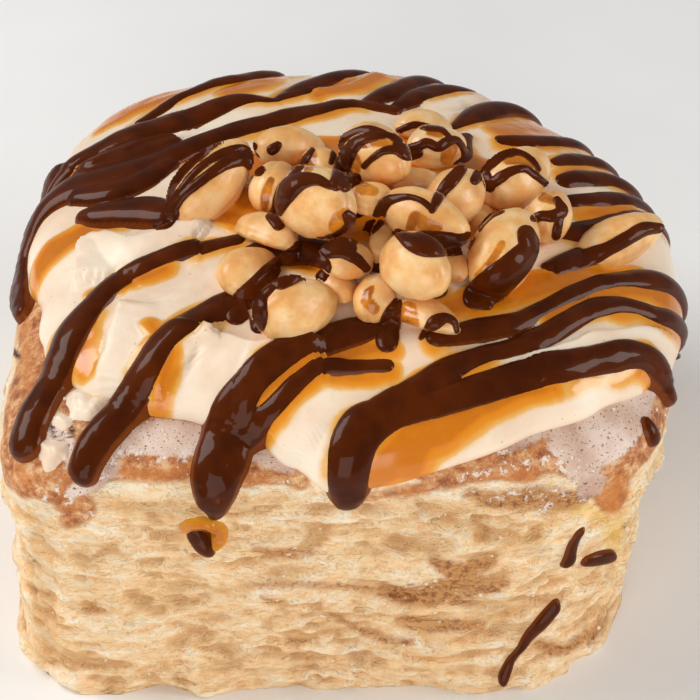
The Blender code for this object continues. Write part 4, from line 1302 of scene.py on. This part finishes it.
class Sight:
    """The photograph's line of sight, which ties its pixels to places on the roll."""

    def __init__(self):
        lift = math.radians(CAMERA_ELEVATION)
        self.back = np.array((0.0, -math.cos(lift), math.sin(lift)))
        self.up = np.array((0.0, math.sin(lift), math.cos(lift)))
        self.right = np.array((1.0, 0.0, 0.0))
        self.eye = np.array(CAMERA_TARGET) + self.back * CAMERA_DISTANCE

    def seen(self, points):
        """Pixels where points show, and how much larger than at the target's distance."""
        offset = points - self.eye
        scale = CAMERA_DISTANCE / -(offset @ self.back)
        x = PHOTO_MIDDLE[0] + offset @ self.right * scale * PHOTO_SCALE
        return x, PHOTO_MIDDLE[1] - offset @ self.up * scale * PHOTO_SCALE, scale

    def rays(self, x, y):
        across, up = (x - PHOTO_MIDDLE[0]) / PHOTO_SCALE, (PHOTO_MIDDLE[1] - y) / PHOTO_SCALE
        ahead = -self.back * CAMERA_DISTANCE + np.outer(across, self.right) + np.outer(up, self.up)
        return unit(ahead)


def draped_sauce(name, strokes, step, tree, frosting_start):
    """Sauce poured over the peanuts: each point is laid on what the camera sees behind it."""
    sight = Sight()
    columns, rows = stroke_grid(strokes, DRAPE_MARGIN, step)
    wider = [[(x, y, width * COAT_WIDER) for x, y, width in stroke] for stroke in strokes]
    depth = stroke_field(columns, rows, wider, coat_profile, DRAPE_REACH, DRAPE_UNEVEN) / PHOTO_SCALE
    shape = depth.shape
    wanted = depth > -DRAPE_EDGE
    x, y = (part.ravel() for part in np.meshgrid(columns, rows))
    directions = sight.rays(x, y).reshape(*shape, 3)
    firm = np.full(shape, np.nan)
    normals = np.zeros((*shape, 3))
    on_frosting = np.zeros(shape, bool)
    start = Vector((sight.eye + MAP_ORIGIN) * MM)
    for row, column in zip(*np.nonzero(wanted)):
        hit, normal, face, length = tree.ray_cast(start, Vector(directions[row, column]))
        if hit is not None:
            firm[row, column] = length / MM
            normals[row, column] = normal
            on_frosting[row, column] = face >= frosting_start
    nearest = np.nan_to_num(firm, nan=1e9)
    for _ in range(BEHIND_STEPS):
        for axis in (0, 1):
            shifted = np.minimum(np.roll(nearest, 1, axis=axis), np.roll(nearest, -1, axis=axis))
            nearest = np.minimum(nearest, shifted)
    wanted &= ~np.isnan(firm)
    wanted &= ~(on_frosting & (np.nan_to_num(firm) - nearest > BEHIND_GAP))
    taut = np.where(wanted, firm, np.nan)
    for _ in range(DRAPE_PASSES):
        padded = np.pad(taut, 1, constant_values=np.nan)
        around = np.stack([padded[:-2, 1:-1], padded[2:, 1:-1], padded[1:-1, :-2], padded[1:-1, 2:]])
        around = np.where(taut - around > MOST_STEP, np.nan, around)
        count = np.sum(~np.isnan(around), axis=0)
        mean = np.nansum(around, axis=0) / np.maximum(count, 1)
        taut = np.where(wanted & (count > 0), np.minimum(firm, mean), taut)
    taut = np.maximum(taut, firm - MOST_BRIDGED)
    smooth = normals.copy()
    for _ in range(LEAN_PASSES):
        total = smooth.copy()
        for axis in (0, 1):
            for shift in (-1, 1):
                total += np.roll(smooth, shift, axis=axis)
        smooth = unit(np.where(wanted[..., None], total, 0.0))
    leaning = unit(smooth + sight.back * LEAN_TO_EYE)
    places = sight.eye + directions * np.nan_to_num(taut)[..., None] + leaning * depth[..., None]
    mesh = grid_mesh(name, shape[1], shape[0])
    set_places(mesh, places.reshape(-1, 3))
    paint(mesh, "depth", np.clip(depth.ravel() * 1.6, 0.0, 1.0))
    keep_faces(mesh, wanted.ravel(), True, MOST_EDGE)
    return mesh


# Peanuts


def kernel_mesh(node, number, voxel, glaze_field):
    """A peanut's solid made fine and smooth, with its seam, lumps and a browner tip."""
    body = bmesh.new()
    body.from_mesh(node.data)
    bmesh.ops.remove_doubles(body, verts=body.verts, dist=0.01 * MM)
    form = put_in_scene("kernel_form", mesh_of(body, "kernel_form"))
    remesh = form.modifiers.new("even", "REMESH")
    remesh.mode = "VOXEL"
    remesh.voxel_size = voxel * MM
    smooth = form.modifiers.new("smooth", "SMOOTH")
    smooth.factor = 0.5
    smooth.iterations = KERNEL_SMOOTHING
    graph = bpy.context.evaluated_depsgraph_get()
    made = bpy.data.meshes.new_from_object(form.evaluated_get(graph))
    bpy.data.meshes.remove(form.data)
    low, high = (np.array(corner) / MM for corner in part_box(node.name))
    places = read_places(made) / MM
    shrunk_low, shrunk_high = places.min(axis=0), places.max(axis=0)
    places = low + (places - shrunk_low) / (shrunk_high - shrunk_low) * (high - low)
    offset = places - places.mean(axis=0)
    across, wide, along = (offset @ np.linalg.eigh(offset.T @ offset)[1]).T
    outward = unit(offset)
    seam = np.exp(-((across / SEAM_HALF_WIDTH) ** 2))
    tip = smooth_step((np.abs(along) / np.abs(along).max() - 0.82) / 0.18) * (along > 0)
    lumps = 0.22 * grain(places / 4.2, 50) + 0.07 * grain(places / 1.7, 51)
    wrinkles = 0.05 * grain(np.column_stack([across * 3.0, wide * 3.0, along * 0.6]), 52)
    places = places + outward * (lumps + wrinkles - SEAM_DEPTH * seam - KERNEL_INSET)[:, None]
    # Browner at the tip and in patches from roasting; the slight darkening along the seam is painted shade in
    # its crease
    roast = 0.25 * seam + 0.6 * tip + 0.5 * smooth_step((grain(places / 5.0, 53 + number) - 0.2) / 0.5)
    set_places(made, places - MAP_ORIGIN)
    made.name = f"kernel_{node.name[-2:]}"
    sight = Sight()
    x, y, _ = sight.seen(places - MAP_ORIGIN)
    glaze = smooth_step(0.5 + sample_grid(glaze_field, PIXELS, x, y) / GLAZE_SOFT)
    glaze *= smooth_step(0.5 + outward @ sight.back / 0.3)
    paint(made, "roast", roast, glaze)
    return made


# Crumbs


def scattered_bits(name, places, sizes, seed):
    """Small irregular bits joined as one mesh, each at its place and of its size in millimetres."""
    draw = np.random.default_rng(seed)
    body = bmesh.new()
    bmesh.ops.create_icosphere(body, subdivisions=1, radius=1.0)
    ball = np.array([vert.co for vert in body.verts])
    faces = np.array([[vert.index for vert in face.verts] for face in body.faces])
    body.free()
    count = len(places)
    stretch = draw.uniform(0.5, 1.25, (count, 1, 3)) * sizes[:, None, None]
    rough = 1.0 + draw.uniform(-0.28, 0.28, (count, len(ball), 1))
    points = (ball * stretch * rough + places[:, None, :] + MAP_ORIGIN) * MM
    mesh = bpy.data.meshes.new(name)
    all_faces = faces + len(ball) * np.arange(count)[:, None, None]
    mesh.from_pydata(points.reshape(-1, 3).tolist(), [], all_faces.reshape(-1, 3).tolist())
    mesh.shade_smooth()
    return mesh


# Settings


class BreadLooks(bpy.types.PropertyGroup):
    segments: bpy.props.IntProperty(
        name="Segments", description="Faces round the bread", default=420, min=60
    )
    rings: bpy.props.IntProperty(
        name="Rings", description="Faces from its top to its base", default=200, min=40
    )


class SauceLooks(bpy.types.PropertyGroup):
    strand_step: bpy.props.FloatProperty(
        name="Strand grid",
        description="Spacing of the chocolate's surface points, in millimetres",
        default=0.36,
    )


class FrostingLooks(bpy.types.PropertyGroup):
    colour: bpy.props.StringProperty(
        name="Cream", description="Main colour, as sRGB hex", default="#fbe2c7"
    )
    segments: bpy.props.IntProperty(
        name="Segments", description="Faces round the frosting", default=430, min=60
    )
    rings: bpy.props.IntProperty(
        name="Rings", description="Faces from its top to its middle below", default=210, min=40
    )


class PeanutLooks(bpy.types.PropertyGroup):
    voxel: bpy.props.FloatProperty(
        name="Fineness", description="Spacing of a kernel's surface points, in millimetres", default=0.42
    )


class StageLooks(bpy.types.PropertyGroup):
    key_power: bpy.props.FloatProperty(
        name="Key light", description="Power of the window light", default=3.4, subtype="POWER"
    )
    fill_power: bpy.props.FloatProperty(
        name="Fill light", description="Power of the front light", default=5.0, subtype="POWER"
    )


# Operators, one for each piece or group of like pieces


class ROLL_OT_bread(bpy.types.Operator):
    """Makes the torn bread with its crust"""

    bl_idname = "roll.bread"
    bl_label = "Bread"

    def execute(self, context):
        looks = context.scene.roll_bread
        mesh, angle, share = ball_mesh("torn_bread", looks.segments, looks.rings, DENSER_BREAD)
        shoulder, end = read_round(SHOULDERS, angle), read_round(ENDS, angle)
        runs = (0.0 * end, 0.75 * shoulder, shoulder + 2.0, end)
        distance = end.copy()
        for first, last, near, far in zip(BREAD_STOPS, BREAD_STOPS[1:], runs, runs[1:]):
            inside = (share >= first) & (share <= last)
            reached = near + (far - near) * (share - first) / (last - first)
            distance = np.where(inside, reached, distance)
        places, deep = bread_surface(angle, distance)
        under = share > BREAD_STOPS[-1]
        places[under, :2] *= ((1.0 - share[under]) / (1.0 - BREAD_STOPS[-1]))[:, None]
        places[under, 2] = 0.0
        places[:, 2] = np.maximum(places[:, 2], 0.0)
        set_places(mesh, places)
        normals = read_roll(ROLL_NORMALS, angle, distance)
        towards = Sight().eye - places
        facing = (normals * unit(towards)).sum(axis=1) > FACING_LEAST
        crust, film, orange, yellow, powder, spice, painted_shade, dark = photo_masks(
            places, facing, CRUST, FILM, ORANGE, YELLOW, POWDER, SPICE, PAINTED_SHADE, DARK
        )
        high = smooth_step((places[:, 2] - crust_height(places) - 0.5) / 2.5)
        # The finish's fourth mask is the crumb's depth, which the material paints as shade in the hollows
        paint(mesh, "finish", np.maximum(crust, high), film, spice, deep)
        # The fourth mask of this second set is painted shade on the crumb
        paint(mesh, "finish_more", orange, yellow, powder, 0.7 * painted_shade)
        paint(mesh, "dark", dark)
        close_ball(mesh)
        add_piece("torn_bread", mesh, bread_material(), "bread", slot="bread")
        return {"FINISHED"}


class ROLL_OT_frosting(bpy.types.Operator):
    """Makes the cream frosting with its lobes, edges and caramel stains"""

    bl_idname = "roll.frosting"
    bl_label = "Frosting"

    def execute(self, context):
        looks = context.scene.roll_frosting
        mesh, angle, share = ball_mesh("cream_frosting", looks.segments, looks.rings, DENSER_FROSTING)
        rim = rim_distance(angle)
        distance = rim * np.sin(np.clip(share / FROSTING_CAP, 0.0, 1.0) * math.pi / 2) ** 0.9
        across, along = distance * np.cos(angle), distance * np.sin(angle)
        flat = flat_rows(across, along)
        wander_x = across + 0.7 * grain(flat / 4.0, 61)
        wander_y = along + 0.7 * grain(flat / 4.0, 62)
        line = np.arange(-80.0, 80.0, MAP_STEP)
        pools, strands = (stroke_field(line, line, table, inset_profile, 4.0) for table in (CARAMEL, STRANDS))
        pool = np.clip(sample_grid(pools, line, wander_x, wander_y) / 2.4 + 0.35, 0.0, 1.0)
        edge = sample_grid(strands, line, wander_x + 0.3, wander_y + 0.8)
        amount = smooth_step(0.45 + 0.9 * grain(flat / 9.0, 63))
        halo = np.clip((edge + 1.6) / 2.0, 0.0, 1.0) * 0.85 * amount
        stain = np.maximum(pool, halo)
        swell = 0.3 * smooth_step(stain / 0.5) * smooth_step((rim - distance) / 3.0)
        lift = frosting_lift(angle, distance) + swell
        under = share > FROSTING_CAP
        inward = (1.0 - share) / (1.0 - FROSTING_CAP)
        distance = np.where(under, rim * np.clip(inward, 0.0, 1.0), distance)
        lift = np.where(under, -FROSTING_ROOT * smooth_step((1.0 - inward) * 9.0), lift)
        set_places(mesh, on_roll(angle, distance, lift))
        paint(mesh, "stain", np.where(under, 0.0, stain))
        close_ball(mesh)
        material = frosting_material(looks.colour)
        add_piece("cream_frosting", mesh, material, "frosting", slot="frosting")
        return {"FINISHED"}


class ROLL_OT_caramel(bpy.types.Operator):
    """Makes the drop of caramel on the torn side"""

    bl_idname = "roll.caramel"
    bl_label = "Caramel drop"

    def execute(self, context):
        mesh = sauce_on_map("caramel_drop", CARAMEL_DROPS, DROP_STEP, on_side=True)
        add_piece("caramel_drop", mesh, caramel_material(), slot="bread")
        return {"FINISHED"}


class ROLL_OT_chocolate(bpy.types.Operator):
    """Lays the chocolate strands over the frosting, and the drops on the torn sides"""

    bl_idname = "roll.chocolate"
    bl_label = "Chocolate"

    def execute(self, context):
        step = context.scene.roll_sauce.strand_step
        material = chocolate_material()
        mesh = sauce_on_map("chocolate_strands", STRANDS, step)
        add_piece("chocolate_strands", mesh, material, "frosting", slot="frosting")
        for number, bends in enumerate(SIDE_DROPS):
            name = f"chocolate_drop_{number + 1}"
            mesh = sauce_on_map(name, (bends,), DROP_STEP, on_side=True)
            add_piece(name, mesh, material, "bread", slot="bread")
        return {"FINISHED"}


class ROLL_OT_peanuts(bpy.types.Operator):
    """Makes the peanuts and the chocolate poured over them"""

    bl_idname = "roll.peanuts"
    bl_label = "Peanuts"

    def execute(self, context):
        material = peanut_material()
        voxel = context.scene.roll_peanuts.voxel
        names = sorted(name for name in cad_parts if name.startswith("peanut_"))
        glaze = stroke_field(PIXELS, PIXELS, PEANUT_CARAMEL, inset_profile, GLAZE_REACH)
        triangles, points, carriers = [], [], []
        for number, name in enumerate(names):
            mesh = kernel_mesh(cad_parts[name], number, voxel, glaze)
            carriers.append(add_piece(f"kernel_{name[-2:]}", mesh, material, name, slot="peanut"))
        carriers.append(bpy.data.objects["cream_frosting"])
        for carrier in carriers:
            base, frosting_start = len(points), len(triangles)
            points.extend(vert.co for vert in carrier.data.vertices)
            triangles.extend([base + index for index in face.vertices] for face in carrier.data.polygons)
        tree = BVHTree.FromPolygons(points, triangles)
        mesh = draped_sauce("chocolate_on_peanuts", PEANUT_STRANDS, DRAPE_STEP, tree, frosting_start)
        chocolate = bpy.data.materials["chocolate sauce"]
        add_piece("chocolate_on_peanuts", mesh, chocolate, slot="peanut")
        return {"FINISHED"}


class ROLL_OT_crumbs(bpy.types.Operator):
    """Scatters torn crumbs on the sides, and smears of frosting and dry icing on the shoulder"""

    bl_idname = "roll.crumbs"
    bl_label = "Crumbs"

    def execute(self, context):
        draw = np.random.default_rng(5)
        angle = draw.uniform(0.0, 2 * math.pi, CRUMB_COUNT)
        share = draw.uniform(0.06, 0.98, CRUMB_COUNT)
        shoulder, end = read_round(SHOULDERS, angle), read_round(ENDS, angle)
        places, _ = bread_surface(angle, shoulder + (end - shoulder) * share)
        sizes = 0.16 + 0.34 * draw.random(CRUMB_COUNT) ** 3
        mesh = scattered_bits("torn_crumbs", places, sizes, 6)
        for name in ("finish", "finish_more", "dark"):
            paint(mesh, name)
        add_piece("torn_crumbs", mesh, bpy.data.materials["pulled wheat crumb"], slot="bread")
        left = draw.random(ICING_COUNT) < ICING_LEFT_SHARE
        sectors = (draw.uniform(*sector, ICING_COUNT) for sector in (ICING_LEFT, ICING_RIGHT))
        angle = np.radians(np.where(left, *sectors))
        places, _ = bread_surface(angle, rim_distance(angle) + draw.uniform(0.5, 8.5, ICING_COUNT))
        sizes = 0.1 + 0.22 * draw.random(ICING_COUNT) ** 4
        mesh = scattered_bits("icing_crumbs", places, sizes, 7)
        add_piece("icing_crumbs", mesh, icing_material(), slot="frosting")
        mesh = sauce_on_map("frosting_smears", SMEARS, DROP_STEP, True, smear_profile, 0.45, 0.4)
        paint(mesh, "stain")
        add_piece("frosting_smears", mesh, bpy.data.materials["whipped cream frosting"], slot="frosting")
        return {"FINISHED"}


class ROLL_OT_stage(bpy.types.Operator):
    """Sets the pale floor, the soft lights and the camera"""

    bl_idname = "roll.stage"
    bl_label = "Stage"

    def execute(self, context):
        looks = context.scene.roll_stage
        floor = put_in_scene("floor", grid_mesh("floor", 25, 25, FLOOR_REACH))
        floor.data.materials.append(stage_material())
        world = bpy.data.worlds.new("pale room")
        world.use_nodes = True
        back = world.node_tree.nodes["Background"]
        back.inputs["Color"].default_value = (1.0, 1.0, 1.0, 1.0)
        back.inputs["Strength"].default_value = WORLD_STRENGTH
        context.scene.world = world
        for name, (place, size), power in (
            ("window", WINDOW, looks.key_power),
            ("front card", FRONT_CARD, looks.fill_power),
            ("right card", RIGHT_CARD, looks.fill_power * RIGHT_CARD_SHARE),
        ):
            light = bpy.data.lights.new(name, "AREA")
            light.size = size
            light.energy = power
            lamp = put_in_scene(name, light)
            lamp.location = place
            lamp.rotation_euler = (Vector(LIGHT_TARGET) - lamp.location).to_track_quat("-Z", "Y").to_euler()
        sight = Sight()
        camera = bpy.data.cameras.new("photo camera")
        camera.lens = CAMERA_LENS
        camera.sensor_width = SENSOR_WIDTH
        camera.shift_x = 0.5 - PHOTO_MIDDLE[0] / PHOTO_SIZE
        camera.shift_y = PHOTO_MIDDLE[1] / PHOTO_SIZE - 0.5
        holder = put_in_scene("photo camera", camera)
        holder.location = (sight.eye + MAP_ORIGIN) * MM
        holder.rotation_euler = (math.radians(90.0 - CAMERA_ELEVATION), 0.0, 0.0)
        context.scene.camera = holder
        context.scene.view_settings.view_transform = "Standard"
        return {"FINISHED"}


class ROLL_PT_panel(bpy.types.Panel):
    """Lists the pieces of the roll"""

    bl_label = "Cinnamon roll"
    bl_idname = "ROLL_PT_panel"
    bl_space_type = "VIEW_3D"
    bl_region_type = "UI"
    bl_category = "Roll"

    def draw(self, context):
        for step in STEPS:
            self.layout.operator(step.bl_idname)


STEPS = (
    ROLL_OT_bread,
    ROLL_OT_frosting,
    ROLL_OT_caramel,
    ROLL_OT_chocolate,
    ROLL_OT_peanuts,
    ROLL_OT_crumbs,
    ROLL_OT_stage,
)
GROUPS = {
    "roll_bread": BreadLooks,
    "roll_sauce": SauceLooks,
    "roll_frosting": FrostingLooks,
    "roll_peanuts": PeanutLooks,
    "roll_stage": StageLooks,
}


def register():
    for group in GROUPS.values():
        bpy.utils.register_class(group)
    for step in (*STEPS, ROLL_PT_panel):
        bpy.utils.register_class(step)
    for name, group in GROUPS.items():
        setattr(bpy.types.Scene, name, bpy.props.PointerProperty(type=group))


def unregister():
    for name in GROUPS:
        delattr(bpy.types.Scene, name)
    for step in (ROLL_PT_panel, *reversed(STEPS)):
        bpy.utils.unregister_class(step)
    for group in reversed(GROUPS.values()):
        bpy.utils.unregister_class(group)


def main():
    register()
    bpy.ops.roll.bread()
    bpy.ops.roll.frosting()
    bpy.ops.roll.caramel()
    bpy.ops.roll.chocolate()
    bpy.ops.roll.peanuts()
    bpy.ops.roll.crumbs()
    bpy.ops.roll.stage()


if __name__ == "__main__":
    main()
